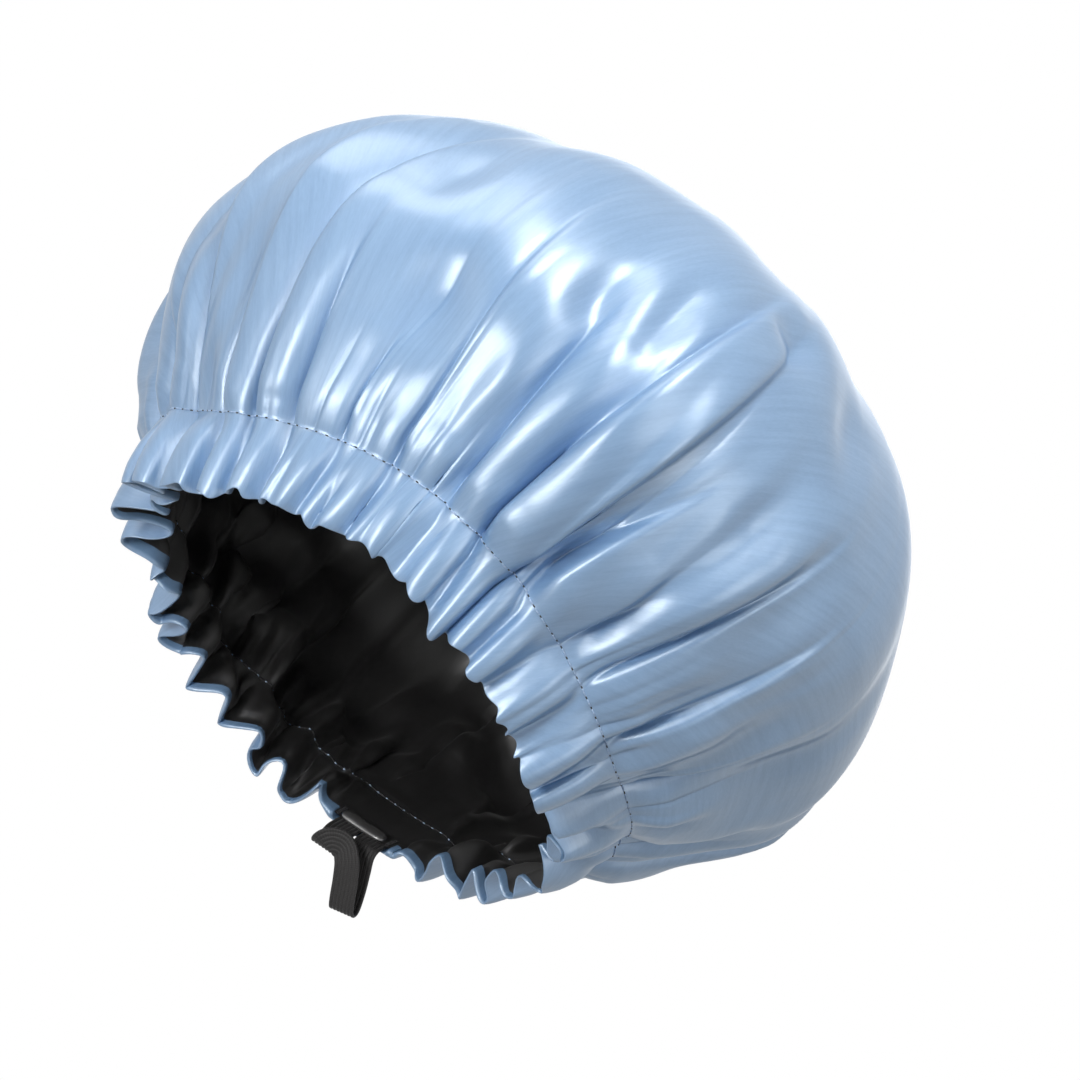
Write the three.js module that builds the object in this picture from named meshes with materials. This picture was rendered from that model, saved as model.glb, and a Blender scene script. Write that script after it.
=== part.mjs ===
// A satin sleep cap: two satin layers gathered on an elastic drawcord that runs in the hem.
// Millimetres, +Z up along the cap's axis, origin at the middle of the head opening.
// The nape, where the drawcord's loop comes out, is at +Y, and the forehead at -Y.
import * as THREE from "three";

// Driving dimensions of the cap
const HEM_RADIUS = 92; // the head opening, at the cap's edge
const SEAM_RADIUS = 105; // the stitch line that closes the elastic's channel
const CHANNEL_DEPTH = 24; // edge to stitch line, along Z
const CROWN_RADIUS = 145; // the widest place
const CROWN_LEVEL = 92; // the height of the widest place
const CAP_HEIGHT = 206; // edge to the top of the crown
const CLOTH = 0.6; // one satin layer
const LAYER_GAP = 0.6; // between the two layers on the crown and at the stitch line
const EDGE_BAND = 1.6; // how far the two layers lie together above the edge
const CLEARANCE = 0.35; // between pieces that touch

// Gathers and folds
const EDGE_RUFFLE = 5.5; // how far a gather stands out and in at the edge
const CHANNEL_RUFFLE = 2.4; // half of what a gather stands off the elastic
const SEAM_RUFFLE = 3.0; // at the stitch line
const CREASE_DEPTH = 5; // of a middling crease, which runs up the crown from a valley between two gathers
const CREASE_REACH = 100; // how far up from the stitch line a middling crease runs
const CREASE_START = 24; // the stretch over which a crease deepens
const HEM_DROOP = 11; // how far the hem hangs down at its lowest place
const DROOP_REACH = 75; // how far up from the stitch line the droop is felt

// The valleys in their order round the cap from the nape: azimuth at the stitch line and at the crease's upper
// end in degrees, the crease's reach and depth as shares of a middling one's, and how far the gather after the
// valley stands out as a share of its ruffle
const CREASES = [
  [24, 22, 1.1, 0.6, 1.1],
  [44, 43, 0.9, 0.9, 0.7],
  [53, 55, 1.3, 1.1, 1.1],
  [70, 72, 0.6, 0.9, 1.2],
  [92, 92, 0.8, 1.0, 0.9],
  [105, 107, 1.05, 1.0, 1.0],
  [119, 116, 1.3, 1.0, 0.8],
  [129, 130, 0.55, 1.0, 0.9],
  [139.5, 135.5, 0.85, 1.1, 0.6],
  [145.5, 139.5, 1.9, 1.2, 0.6],
  [152, 145, 2.0, 1.6, 0.8],
  [160.5, 162, 1.3, 1.1, 1.0],
  [173, 176, 1.65, 0.9, 0.8],
  [184, 184, 0.65, 0.9, 1.0],
  [195, 197, 0.95, 1.0, 0.8],
  [203.5, 200.5, 1.8, 1.2, 0.7],
  [211, 213, 1.8, 1.5, 1.1],
  [223, 231, 1.6, 1.5, 1.0],
  [234, 240, 0.8, 1.0, 1.1],
  [244, 247, 1.3, 1.1, 1.3],
  [266, 268, 1.6, 1.2, 1.2],
  [286, 284, 1.2, 1.1, 0.9],
  [295, 296, 0.7, 0.8, 1.0],
  [305, 303, 1.5, 1.2, 1.2],
  [324, 324, 1.1, 1.0, 0.9],
  [334, 332, 0.8, 0.8, 1.0],
];
const FIRST_GATHER_SHARE = 0.9; // the gather before the first valley, as a share of its ruffle
const VALLEY_SHARE = 0.8; // how far a valley of the hem stands in, as a share of its ruffle
const CREASE_SHARE = 0.6; // how far a crease lies below the crown, as a share of its depth
const BAND_SHARE = 0.45; // how far the cloth between two creases stands above it, as a share of their depth

// The hem's droop round the cap, as a share of HEM_DROOP at azimuths in degrees
const DROOP = [
  [0, 0],
  [45, -0.1],
  [72, -0.45],
  [85, 0],
  [100, 0.5],
  [125, 0.45],
  [145, 0.1],
  [170, 0.1],
  [183, 0.4],
  [198, 0.75],
  [212, 1],
  [224, 0.8],
  [240, 0.3],
  [262, -0.35],
  [290, -0.1],
  [330, 0],
  [360, 0],
];

// Elastic drawcord and its slit at the nape
const ELASTIC_WIDTH = 10.5;
const ELASTIC_THICKNESS = 1.2;
const STRAND_GAP = 0.7; // between the two strands that come out of the slit
const SLIT_END_ROOM = 1.65; // from a strand to the end of the slit
const HINGE_DROP = 3; // from the edge to the place where the loop bends
const WELT_HEIGHT = 5.5;
const WELT_THICKNESS = 2.2;
const WELT_OVERHANG = 1.6; // below the edge

// Threads
const THREAD = 0.5;
const TACK_LENGTH = 6;
const TACK_WIDTH = 1.4;
const SPLICE_LENGTH = 10; // zigzag that joins the elastic's ends, at the forehead
const SPLICE_WIDTH = 7;
const SPLICE_POINTS = 7;

// The channel's line and its normal, in a half plane through the axis
const channelRise = new THREE.Vector2(SEAM_RADIUS - HEM_RADIUS, CHANNEL_DEPTH);
const CHANNEL_LENGTH = channelRise.length();
const slant = Math.atan2(channelRise.x, channelRise.y);
const channelNormal = new THREE.Vector2(Math.cos(slant), -Math.sin(slant));
const ELASTIC_MIDDLE = CHANNEL_LENGTH / 2;
const POCKET = ELASTIC_THICKNESS / 2 + CLEARANCE; // half of the room round the elastic
const EDGE_GAP = THREAD + 2 * CLEARANCE; // between the two layers at the edge, round the edge seam

// The slit, as wide as the two strands side by side and a little room at each end. The strands are flat,
// and the slit's two flats make a shallow V, so the strands lie half of its depth below its middle.
const STRAND_SPACING = ELASTIC_WIDTH + STRAND_GAP;
const STRAND_EDGE = STRAND_SPACING / 2 + ELASTIC_WIDTH / 2;
const SLIT_WIDTH = 2 * (STRAND_EDGE + SLIT_END_ROOM);
const SLIT_HALF_ANGLE = SLIT_WIDTH / 2 / HEM_RADIUS;
const slitDepth = HEM_RADIUS * (1 - Math.cos(SLIT_HALF_ANGLE));
const STRAND_LEVEL = (-0.5 * slitDepth * STRAND_EDGE) / (SLIT_WIDTH / 2);
const SLIT_OPENING = ELASTIC_THICKNESS / 2 + CLEARANCE - STRAND_LEVEL; // half of the slit's height
const STRAND_INSIDE = ELASTIC_MIDDLE + ELASTIC_WIDTH / 2; // where the strands turn into the band

// Columns of the cloth, counted from the nape: one in the middle of the slit and one at each end of it, and
// between them gathers at even columns and valleys at odd ones
const COLUMNS = 2 * CREASES.length + 4;

function inSlit(i) {
  return i <= 1 || i === COLUMNS - 1;
}

// The number of the valley at a column, or of the valley before a gather
function valleyNumber(i) {
  return Math.floor((i - 3) / 2);
}

const allColumns = Array.from({ length: COLUMNS }, (_, i) => i);
const smooth = (share) => THREE.MathUtils.smoothstep(share, 0, 1);

// A column's angle, at a rise above the stitch line: a valley follows its crease, and a gather keeps between
// its two valleys.
function columnAngle(i, rise = 0) {
  if (i <= 1) return i * SLIT_HALF_ANGLE;
  if (i >= COLUMNS - 1) return 2 * Math.PI - (COLUMNS - i) * SLIT_HALF_ANGLE;
  if (i % 2 === 0) {
    const [before, after] = [i - 1, i + 1].map((column) => columnAngle(column, rise));
    return (before + after) / 2;
  }
  const [low, high, reach] = CREASES[valleyNumber(i)];
  return THREE.MathUtils.degToRad(low + (high - low) * smooth(rise / (reach * CREASE_REACH)));
}

// How far the cloth stands out of an even hem at a column, as a share of the ruffle
function gather(i) {
  if (inSlit(i)) return 0;
  if (i % 2 === 1) return -VALLEY_SHARE;
  return i === 2 ? FIRST_GATHER_SHARE : CREASES[valleyNumber(i)][4];
}

function creaseDepth(i, rise) {
  if (inSlit(i)) return 0;
  const [, , reach, depth] = CREASES[valleyNumber(i)];
  const deepening = smooth(0.4 + rise / CREASE_START);
  return depth * CREASE_DEPTH * deepening * (1 - smooth((rise / (reach * CREASE_REACH) - 0.35) / 0.65));
}

// How far the crown's creases and bands move the cloth at a column, at a rise above the stitch line
function fold(i, rise) {
  if (inSlit(i)) return 0;
  if (i % 2 === 1) return -CREASE_SHARE * creaseDepth(i, rise);
  return (BAND_SHARE * (creaseDepth(i - 1, rise) + creaseDepth(i + 1, rise))) / 2;
}

// How far the hem hangs down at a column
function droop(i) {
  if (inSlit(i)) return 0;
  const angle = THREE.MathUtils.radToDeg(columnAngle(i));
  const k = DROOP.findIndex(([azimuth]) => azimuth > angle);
  const [[from, low], [to, high]] = [DROOP[k - 1], DROOP[k]];
  return HEM_DROOP * THREE.MathUtils.mapLinear(angle, from, to, low, high);
}

// A ring's place in the half plane at a column, lowered by the droop
function lowered(ring, i) {
  const place = ring.place.clone();
  place.y -= droop(i) * (1 - smooth(ring.rise / DROOP_REACH));
  return place;
}

// Rings of the cloth, from the edge to the pole. Each ring has its place and normal in the half plane, its
// rise above the stitch line, the half gap between the layers, and how far gathers move the cloth out.
function channelRing(along, settings) {
  const place = channelRise.clone().multiplyScalar(along / CHANNEL_LENGTH);
  place.x += HEM_RADIUS;
  return { place, normal: channelNormal, rise: along - CHANNEL_LENGTH, ruffle: 0, pocket: false, ...settings };
}

function flankRing(share, settings) {
  const angle = (share * Math.PI) / 2;
  const rise = CROWN_LEVEL - CHANNEL_DEPTH;
  const spread = CROWN_RADIUS - SEAM_RADIUS;
  const place = new THREE.Vector2(SEAM_RADIUS + spread * Math.sin(angle), CHANNEL_DEPTH + rise * share);
  const normal = new THREE.Vector2(rise / (Math.PI / 2), -spread * Math.cos(angle)).normalize();
  return { place, normal, ruffle: 0, pocket: false, gap: LAYER_GAP / 2, ...settings };
}

function crownRing(degrees, settings) {
  const angle = THREE.MathUtils.degToRad(degrees);
  const rise = CAP_HEIGHT - CROWN_LEVEL;
  const place = new THREE.Vector2(CROWN_RADIUS * Math.cos(angle), CROWN_LEVEL + rise * Math.sin(angle));
  const normal = new THREE.Vector2(rise * Math.cos(angle), CROWN_RADIUS * Math.sin(angle)).normalize();
  return { place, normal, ruffle: 0, pocket: false, gap: LAYER_GAP / 2, ...settings };
}

const POCKET_MARGIN = CLEARANCE + ELASTIC_WIDTH / 2; // the pocket's half height round the elastic

const rings = [
  channelRing(0, { gap: EDGE_GAP / 2, ruffle: EDGE_RUFFLE }),
  channelRing(EDGE_BAND, { gap: EDGE_GAP / 2, ruffle: EDGE_RUFFLE }),
  channelRing(ELASTIC_MIDDLE - POCKET_MARGIN, { gap: POCKET, ruffle: CHANNEL_RUFFLE, pocket: true }),
  channelRing(ELASTIC_MIDDLE + POCKET_MARGIN, { gap: POCKET, ruffle: CHANNEL_RUFFLE, pocket: true }),
  channelRing(CHANNEL_LENGTH, { gap: LAYER_GAP / 2, ruffle: SEAM_RUFFLE }),
  flankRing(0.32, { ruffle: 0.8 * SEAM_RUFFLE }),
  flankRing(0.66, { ruffle: 0.4 * SEAM_RUFFLE }),
  crownRing(0, {}),
  crownRing(24, {}),
  crownRing(47, {}),
  crownRing(68, {}),
];
const EDGE_RING = 0;
const SEAM_RING = rings.findIndex((ring) => ring.rise === 0);
for (let k = SEAM_RING + 1; k < rings.length; k++) {
  rings[k].rise = rings[k - 1].rise + rings[k].place.distanceTo(rings[k - 1].place);
}
const pole = { place: new THREE.Vector2(0, CAP_HEIGHT), normal: new THREE.Vector2(0, 1) };

// How far a layer's facing side lies from the middle between the layers, at a column and a ring
function facing(i, ring, layer) {
  const open = inSlit(i) && ring.place.y < CHANNEL_DEPTH / 2 + POCKET_MARGIN;
  const gap = open ? SLIT_OPENING : ring.gap;
  const puff = ring.pocket ? layer * ring.ruffle * (1 + gather(i)) : ring.ruffle * gather(i);
  const foldLift = ring.rise < 0 ? 0 : fold(i, ring.rise);
  return layer * gap + (inSlit(i) && ring.pocket ? 0 : puff) + foldLift;
}

// A point at an angle from the nape, off a place in the half plane along its normal
function around(angle, place, normal, height) {
  const radius = place.x + height * normal.x;
  return new THREE.Vector3(radius * Math.sin(angle), radius * Math.cos(angle), place.y + height * normal.y);
}

// A closed solid from triangles, turned so that its faces point out
function solid(triangles) {
  const volume = triangles.reduce((sum, [a, b, c]) => sum + a.dot(b.clone().cross(c)), 0);
  const turned = volume < 0 ? triangles.map(([a, b, c]) => [a, c, b]) : triangles;
  const geometry = new THREE.BufferGeometry().setFromPoints(turned.flat());
  geometry.computeVertexNormals();
  return geometry;
}

function quad(a, b, c, d) {
  return [
    [a, b, c],
    [a, c, d],
  ];
}

// A solid swept through sections of equal counts of points, closed on itself or capped at both ends
function sweep(sections, isRing) {
  const triangles = [];
  const steps = isRing ? sections.length : sections.length - 1;
  for (let s = 0; s < steps; s++) {
    const here = sections[s];
    const next = sections[(s + 1) % sections.length];
    here.forEach((point, j) => {
      const k = (j + 1) % here.length;
      triangles.push(...quad(point, next[j], next[k], here[k]));
    });
  }
  if (!isRing) {
    for (const [end, reverse] of [[sections[0], false], [sections.at(-1), true]]) {
      for (let j = 1; j < end.length - 1; j++) {
        triangles.push(reverse ? [end[0], end[j + 1], end[j]] : [end[0], end[j], end[j + 1]]);
      }
    }
  }
  return solid(triangles);
}

// One satin layer: a gathered dome with two faces, closed at the pole and round the edge
function satinLayer(layer) {
  const face = (i, ring, depth) =>
    around(columnAngle(i, ring.rise), lowered(ring, i), ring.normal, facing(i, ring, layer) + layer * depth);
  const tip = (depth) => around(0, pole.place, pole.normal, layer * (LAYER_GAP / 2 + depth));
  const triangles = [];
  for (let i = 0; i < COLUMNS; i++) {
    const j = (i + 1) % COLUMNS;
    for (const [depth, flip] of [[0, true], [CLOTH, false]]) {
      const side = [];
      for (let k = 0; k + 1 < rings.length; k++) {
        const corners = [[i, k], [j, k], [j, k + 1], [i, k + 1]];
        side.push(...quad(...corners.map(([column, ring]) => face(column, rings[ring], depth))));
      }
      const last = rings.at(-1);
      side.push([face(i, last, depth), face(j, last, depth), tip(depth)]);
      triangles.push(...(flip ? side.map(([a, b, c]) => [a, c, b]) : side));
    }
    const edge = rings[EDGE_RING];
    triangles.push(...quad(face(j, edge, CLOTH), face(i, edge, CLOTH), face(i, edge, 0), face(j, edge, 0)));
  }
  return solid(triangles);
}

// A point on the channel's line, at an angle from the nape, on the flat between its two columns
function onChannel(angle, along, height) {
  const ring = channelRing(along, {});
  const next = 1 + allColumns.findLastIndex((i) => columnAngle(i) <= angle);
  const [from, to] = [columnAngle(next - 1), columnAngle(next)];
  const start = around(from, lowered(ring, next - 1), ring.normal, height);
  const end = around(to, lowered(ring, next % COLUMNS), ring.normal, height);
  return start.lerp(end, (angle - from) / (to - from));
}

// The drawcord's length in the channel, from one side of the slit round the forehead to the other
function elasticBand() {
  const start = (STRAND_EDGE + CLEARANCE) / HEM_RADIUS;
  const angles = [start];
  for (let i = 1; i < COLUMNS; i++) {
    if (columnAngle(i) > start && columnAngle(i) < 2 * Math.PI - start) angles.push(columnAngle(i));
  }
  angles.push(2 * Math.PI - start);
  const [low, high] = [ELASTIC_MIDDLE - ELASTIC_WIDTH / 2, ELASTIC_MIDDLE + ELASTIC_WIDTH / 2];
  const half = ELASTIC_THICKNESS / 2;
  const section = (angle) => [
    onChannel(angle, low, -half),
    onChannel(angle, low, half),
    onChannel(angle, high, half),
    onChannel(angle, high, -half),
  ];
  return sweep(angles.map(section), false);
}

// A thread that follows the cloth round a ring, on the outside, on the inside or between the layers
function ringThread(ring, height, columns, isRing) {
  const half = THREAD / 2;
  const along = new THREE.Vector2(-ring.normal.y, ring.normal.x);
  const section = (i) =>
    [[-half, -half], [half, -half], [half, half], [-half, half]].map(([up, out]) => {
      const place = lowered(ring, i).addScaledVector(along, up);
      return around(columnAngle(i), place, ring.normal, height(i) + out);
    });
  return sweep(columns.map(section), isRing);
}

const sewnColumns = allColumns.filter((i) => i >= 2 && i <= COLUMNS - 2);
const THREAD_HEIGHT = CLOTH + CLEARANCE + THREAD / 2;

function channelThread(layer) {
  const ring = rings[SEAM_RING];
  return ringThread(ring, (i) => facing(i, ring, layer) + layer * THREAD_HEIGHT, allColumns, true);
}

function edgeThread() {
  const ring = channelRing(EDGE_BAND / 2, {});
  return ringThread(ring, (i) => EDGE_RUFFLE * gather(i), sewnColumns, false);
}

// The zigzag thread over the join of the elastic's ends, on its outer face, under a gather that stands out
const SPLICE_COLUMN = 2 * Math.round(COLUMNS / 4);
function spliceZigzag() {
  const step = SPLICE_LENGTH / (SPLICE_POINTS - 1);
  const reach = (THREAD / 2) * Math.hypot(1, SPLICE_WIDTH / step);
  const line = Array.from({ length: SPLICE_POINTS }, (_, n) => {
    const side = n % 2 === 0 ? -1 : 1;
    return new THREE.Vector2(n * step - SPLICE_LENGTH / 2, (side * SPLICE_WIDTH) / 2);
  });
  const upper = line.map((point) => new THREE.Vector2(point.x, point.y + reach));
  const lower = line.map((point) => new THREE.Vector2(point.x, point.y - reach));
  const outline = new THREE.Shape([...upper, ...lower.reverse()]);
  return new THREE.ExtrudeGeometry(outline, { depth: THREAD, bevelEnabled: false });
}

// The splice lies flat on the elastic: X along the hem, Y up the channel and Z out of it.
function placeSplice(mesh) {
  const angle = columnAngle(SPLICE_COLUMN);
  const radial = new THREE.Vector3(Math.sin(angle), Math.cos(angle), 0);
  const up = radial.clone().multiplyScalar(Math.sin(slant));
  up.z = Math.cos(slant);
  const out = radial.clone().multiplyScalar(Math.cos(slant));
  out.z = -Math.sin(slant);
  const axes = new THREE.Matrix4().makeBasis(up.clone().cross(out), up, out);
  mesh.quaternion.setFromRotationMatrix(axes);
  mesh.position.copy(onChannel(angle, ELASTIC_MIDDLE, ELASTIC_THICKNESS / 2 + CLEARANCE));
  return mesh;
}

// A strand in the slit, in the nape's own frame: X along the edge, Y out of the cloth, Z up the channel
function strand(side) {
  const lowEnd = -HINGE_DROP + ELASTIC_THICKNESS / 2 + CLEARANCE;
  const geometry = new THREE.BoxGeometry(ELASTIC_WIDTH, ELASTIC_THICKNESS, STRAND_INSIDE - lowEnd);
  geometry.translate((side * STRAND_SPACING) / 2, STRAND_LEVEL, (STRAND_INSIDE + lowEnd) / 2);
  return geometry;
}

const LINING_FACE = SLIT_OPENING + CLOTH; // the lining's bare side, from the slit's middle

// The folded black edge on the lining's lip, as wide as the slit less a tack at each end
function slitWelt() {
  const end = SLIT_HALF_ANGLE - (TACK_WIDTH + 3 * CLEARANCE) / HEM_RADIUS;
  const near = -(LINING_FACE + CLEARANCE);
  const far = near - WELT_THICKNESS;
  const [low, high] = [-WELT_OVERHANG, WELT_HEIGHT - WELT_OVERHANG];
  const rounding = WELT_THICKNESS / 3;
  const outline = [
    [near, low + rounding],
    [near, high],
    [far, high - rounding],
    [far, low + rounding],
    [(near + far) / 2, low],
  ];
  const section = (angle) =>
    outline.map(([height, along]) => {
      const ring = channelRing(along, {});
      return around(angle, ring.place, ring.normal, height);
    });
  return sweep([-end, 0, end].map(section), false);
}

function barTack(side) {
  const middle = SLIT_HALF_ANGLE - (TACK_WIDTH / 2 + CLEARANCE) / HEM_RADIUS;
  const half = TACK_WIDTH / 2 / HEM_RADIUS;
  const near = -(LINING_FACE + CLEARANCE);
  const corner = (angle, height, along) => {
    const point = onChannel(angle, along, height);
    point.x *= side;
    return point;
  };
  const section = (along) => [
    corner(middle - half, near, along),
    corner(middle + half, near, along),
    corner(middle + half, near - THREAD, along),
    corner(middle - half, near - THREAD, along),
  ];
  return sweep([THREAD, THREAD + TACK_LENGTH].map(section), false);
}

// The free loop, from the bend below one strand to the bend below the other: two lobes, one short and one
// long. The points are its middle line from the hinge line: X along the edge, Y away from the head, Z up.
const halfSpacing = STRAND_SPACING / 2;
const loopLine = new THREE.CatmullRomCurve3(
  [
    [-halfSpacing, 0, 0],
    [-halfSpacing, -0.9, -3.2],
    [-5.9, 0.5, -7.6],
    [-6.0, 0.4, -10.2],
    [-5.6, -1.8, -10.4],
    [-3.6, -3.0, -8.2],
    [0.8, -2.8, -7.0],
    [4.6, -0.4, -9.8],
    [7.2, 4.6, -14.2],
    [9.2, 10.6, -19.0],
    [10.0, 14.2, -20.6],
    [9.8, 15.6, -18.4],
    [8.4, 11.8, -12.6],
    [6.8, 6.2, -7.2],
    [halfSpacing, 1.6, -3.0],
    [halfSpacing, 0, 0],
  ].map((point) => new THREE.Vector3(...point)),
);
const LOOP_STEPS = 48;

// The direction across the elastic at each point of its line, carried along it with the least turning,
// and then turned evenly so that it lies along the edge again at the far end
function acrossLoop(tangents) {
  const carried = [new THREE.Vector3(1, 0, 0)];
  for (const tangent of tangents.slice(1)) {
    carried.push(carried.at(-1).clone().projectOnPlane(tangent).normalize());
  }
  const end = tangents.at(-1);
  const last = carried.at(-1);
  const wanted = new THREE.Vector3(Math.sign(last.x), 0, 0).projectOnPlane(end).normalize();
  const turn = Math.atan2(last.clone().cross(wanted).dot(end), last.dot(wanted));
  return carried.map((across, n) =>
    across.applyAxisAngle(tangents[n], (turn * n) / (tangents.length - 1)),
  );
}

function elasticLoop() {
  const points = loopLine.getPoints(LOOP_STEPS);
  const tangents = points.map((_, n) => loopLine.getTangent(n / LOOP_STEPS));
  const across = acrossLoop(tangents);
  const half = ELASTIC_THICKNESS / 2;
  const section = (point, n, thickness) => {
    const side = across[n].clone().multiplyScalar(ELASTIC_WIDTH / 2);
    const up = tangents[n].clone().cross(across[n]).multiplyScalar(thickness);
    return [
      point.clone().sub(side).sub(up),
      point.clone().add(side).sub(up),
      point.clone().add(side).add(up),
      point.clone().sub(side).add(up),
    ];
  };
  // Each end is rounded about the hinge line, so that the loop can turn below its strands.
  const nose = (n, direction, share) => {
    const reach = half * Math.sin(share);
    const point = points[n].clone().addScaledVector(tangents[n], direction * reach);
    return section(point, n, half * Math.cos(share));
  };
  const roundings = [1.2, 0.6];
  return sweep(
    [
      ...roundings.map((share) => nose(0, -1, share)),
      ...points.map((point, n) => section(point, n, half)),
      ...roundings.toReversed().map((share) => nose(LOOP_STEPS, 1, share)),
    ],
    false,
  );
}

// Materials
const blueSatin = new THREE.MeshStandardMaterial({ color: 0xa9c6ea, roughness: 0.38 });
const blackSatin = new THREE.MeshStandardMaterial({ color: 0x0d0c0d, roughness: 0.42 });
const blackElastic = new THREE.MeshStandardMaterial({ color: 0x131211, roughness: 0.85 });
const blueThread = new THREE.MeshStandardMaterial({ color: 0xb9d0ec, roughness: 0.6 });
const blackThread = new THREE.MeshStandardMaterial({ color: 0x17171a, roughness: 0.6 });

function piece(name, geometry, material) {
  const mesh = new THREE.Mesh(geometry, material);
  mesh.name = name;
  return mesh;
}

const cap = new THREE.Group();
const OUTER = 1;
const LINING = -1;
cap.add(
  piece("outer_satin", satinLayer(OUTER), blueSatin),
  piece("lining_satin", satinLayer(LINING), blackSatin),
  piece("elastic_band", elasticBand(), blackElastic),
  placeSplice(piece("elastic_splice_thread", spliceZigzag(), blackThread)),
  piece("channel_needle_thread", channelThread(OUTER), blueThread),
  piece("channel_bobbin_thread", channelThread(LINING), blackThread),
  piece("edge_seam_thread", edgeThread(), blackThread),
  piece("slit_welt", slitWelt(), blackSatin),
  piece("bar_tack_left", barTack(-1), blackThread),
  piece("bar_tack_right", barTack(1), blackThread),
);

// The strands slide along the channel, and the loop turns on the hinge line below them.
const nape = new THREE.Group();
nape.position.set(0, HEM_RADIUS, 0);
nape.rotation.x = -slant;
nape.add(
  piece("elastic_strand_left", strand(-1), blackElastic),
  piece("elastic_strand_right", strand(1), blackElastic),
);
const hinge = new THREE.Group();
hinge.position.set(0, STRAND_LEVEL, -HINGE_DROP);
hinge.rotation.x = slant;
hinge.add(piece("elastic_loop", elasticLoop(), blackElastic));
nape.add(hinge);
cap.add(nape);

export default cap;
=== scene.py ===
# %% [markdown]
# # A satin sleep cap
# The cap is two layers of satin, light blue outside and black inside, sewn together round the edge and
# gathered on a flat elastic that runs in the hem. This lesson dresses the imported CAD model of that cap:
# the CAD gives the sizes, the bodies and the joints, and each step below makes one real piece of it.

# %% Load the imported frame
import math

import bmesh
import bpy
import numpy as np
from mathutils import Matrix, Vector


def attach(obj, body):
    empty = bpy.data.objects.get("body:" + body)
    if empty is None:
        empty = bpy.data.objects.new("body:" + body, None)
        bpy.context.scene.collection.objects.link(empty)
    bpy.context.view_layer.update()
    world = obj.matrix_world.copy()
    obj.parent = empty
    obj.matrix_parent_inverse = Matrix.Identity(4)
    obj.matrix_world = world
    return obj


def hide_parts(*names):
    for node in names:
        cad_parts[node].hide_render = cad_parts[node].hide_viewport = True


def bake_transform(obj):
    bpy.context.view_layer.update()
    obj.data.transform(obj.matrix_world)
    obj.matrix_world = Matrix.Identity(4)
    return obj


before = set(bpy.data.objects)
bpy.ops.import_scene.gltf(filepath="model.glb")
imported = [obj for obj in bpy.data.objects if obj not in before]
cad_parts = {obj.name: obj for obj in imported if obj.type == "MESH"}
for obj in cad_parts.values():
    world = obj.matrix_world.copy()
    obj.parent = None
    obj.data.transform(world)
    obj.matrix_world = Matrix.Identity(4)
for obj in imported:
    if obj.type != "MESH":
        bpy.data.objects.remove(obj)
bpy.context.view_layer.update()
MM = 0.001

# %% [markdown]
# ## Camera
# The photograph looks up into the cap from in front and a little below, with the cap lying over to the
# right. A camera could be placed by eye, but here its three angles and its scale come from fitting the
# cap's outline and its opening. A long lens keeps the view nearly parallel, as the fit was.

# %% Place the camera
VIEW_TURN = math.radians(27.5)
VIEW_RISE = math.radians(-26.9)
VIEW_ROLL = math.radians(45.5)
PIXEL = 0.34 * MM
FRAME_PIXELS = 1080
OPENING_PIXEL = (343.5, 680)
LENS = 200
SENSOR = 36

back = Vector((math.sin(VIEW_TURN) * math.cos(VIEW_RISE), -math.cos(VIEW_TURN) * math.cos(VIEW_RISE),
               math.sin(VIEW_RISE)))
level_right = Vector((math.cos(VIEW_TURN), math.sin(VIEW_TURN), 0))
level_up = back.cross(level_right)
view_up = level_up * math.cos(VIEW_ROLL) - level_right * math.sin(VIEW_ROLL)
view_right = view_up.cross(back)
middle = FRAME_PIXELS / 2
aim = view_right * (middle - OPENING_PIXEL[0]) * PIXEL + view_up * (OPENING_PIXEL[1] - middle) * PIXEL
distance = FRAME_PIXELS * PIXEL * LENS / SENSOR

camera_data = bpy.data.cameras.new("camera")
camera_data.lens = LENS
camera_data.sensor_width = SENSOR
camera = bpy.data.objects.new("camera", camera_data)
camera.matrix_world = Matrix((view_right, view_up, back)).transposed().to_4x4()
camera.location = aim + back * distance
bpy.context.scene.collection.objects.link(camera)
bpy.context.scene.camera = camera
print("camera distance in m:", round(distance, 3))

# %% [markdown]
# ## Mesh helpers
# Most pieces here are grids: rows of points that run round the cap or along a strip. One helper turns rows
# into a mesh and lays UVs on it in metres, so that a weave has its real scale. It makes two layers of them,
# because the satins later get their own for the weave. Another helper closes the ends of a strip.

# %% Helpers for meshes
def smooth(share):
    share = np.clip(share, 0, 1)
    return share * share * (3 - 2 * share)


def unit(vectors):
    return vectors / np.maximum(np.linalg.norm(vectors, axis=-1, keepdims=True), 1e-12)


def path_length(line):
    return np.concatenate([[0], np.cumsum(np.linalg.norm(np.diff(line, axis=0), axis=1))])


def add_mesh(name, points, faces, uvs):
    mesh = bpy.data.meshes.new(name)
    mesh.from_pydata(points.tolist(), [], faces)
    for layer in ("gathers", "weave"):
        mesh.uv_layers.new(name=layer).data.foreach_set("uv", uvs.astype(np.float32).ravel())
    mesh.polygons.foreach_set("use_smooth", np.ones(len(mesh.polygons), bool))
    mesh.update()
    piece = bpy.data.objects.new(name, mesh)
    bpy.context.scene.collection.objects.link(piece)
    return piece


TIP_UV = 0.004


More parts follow.
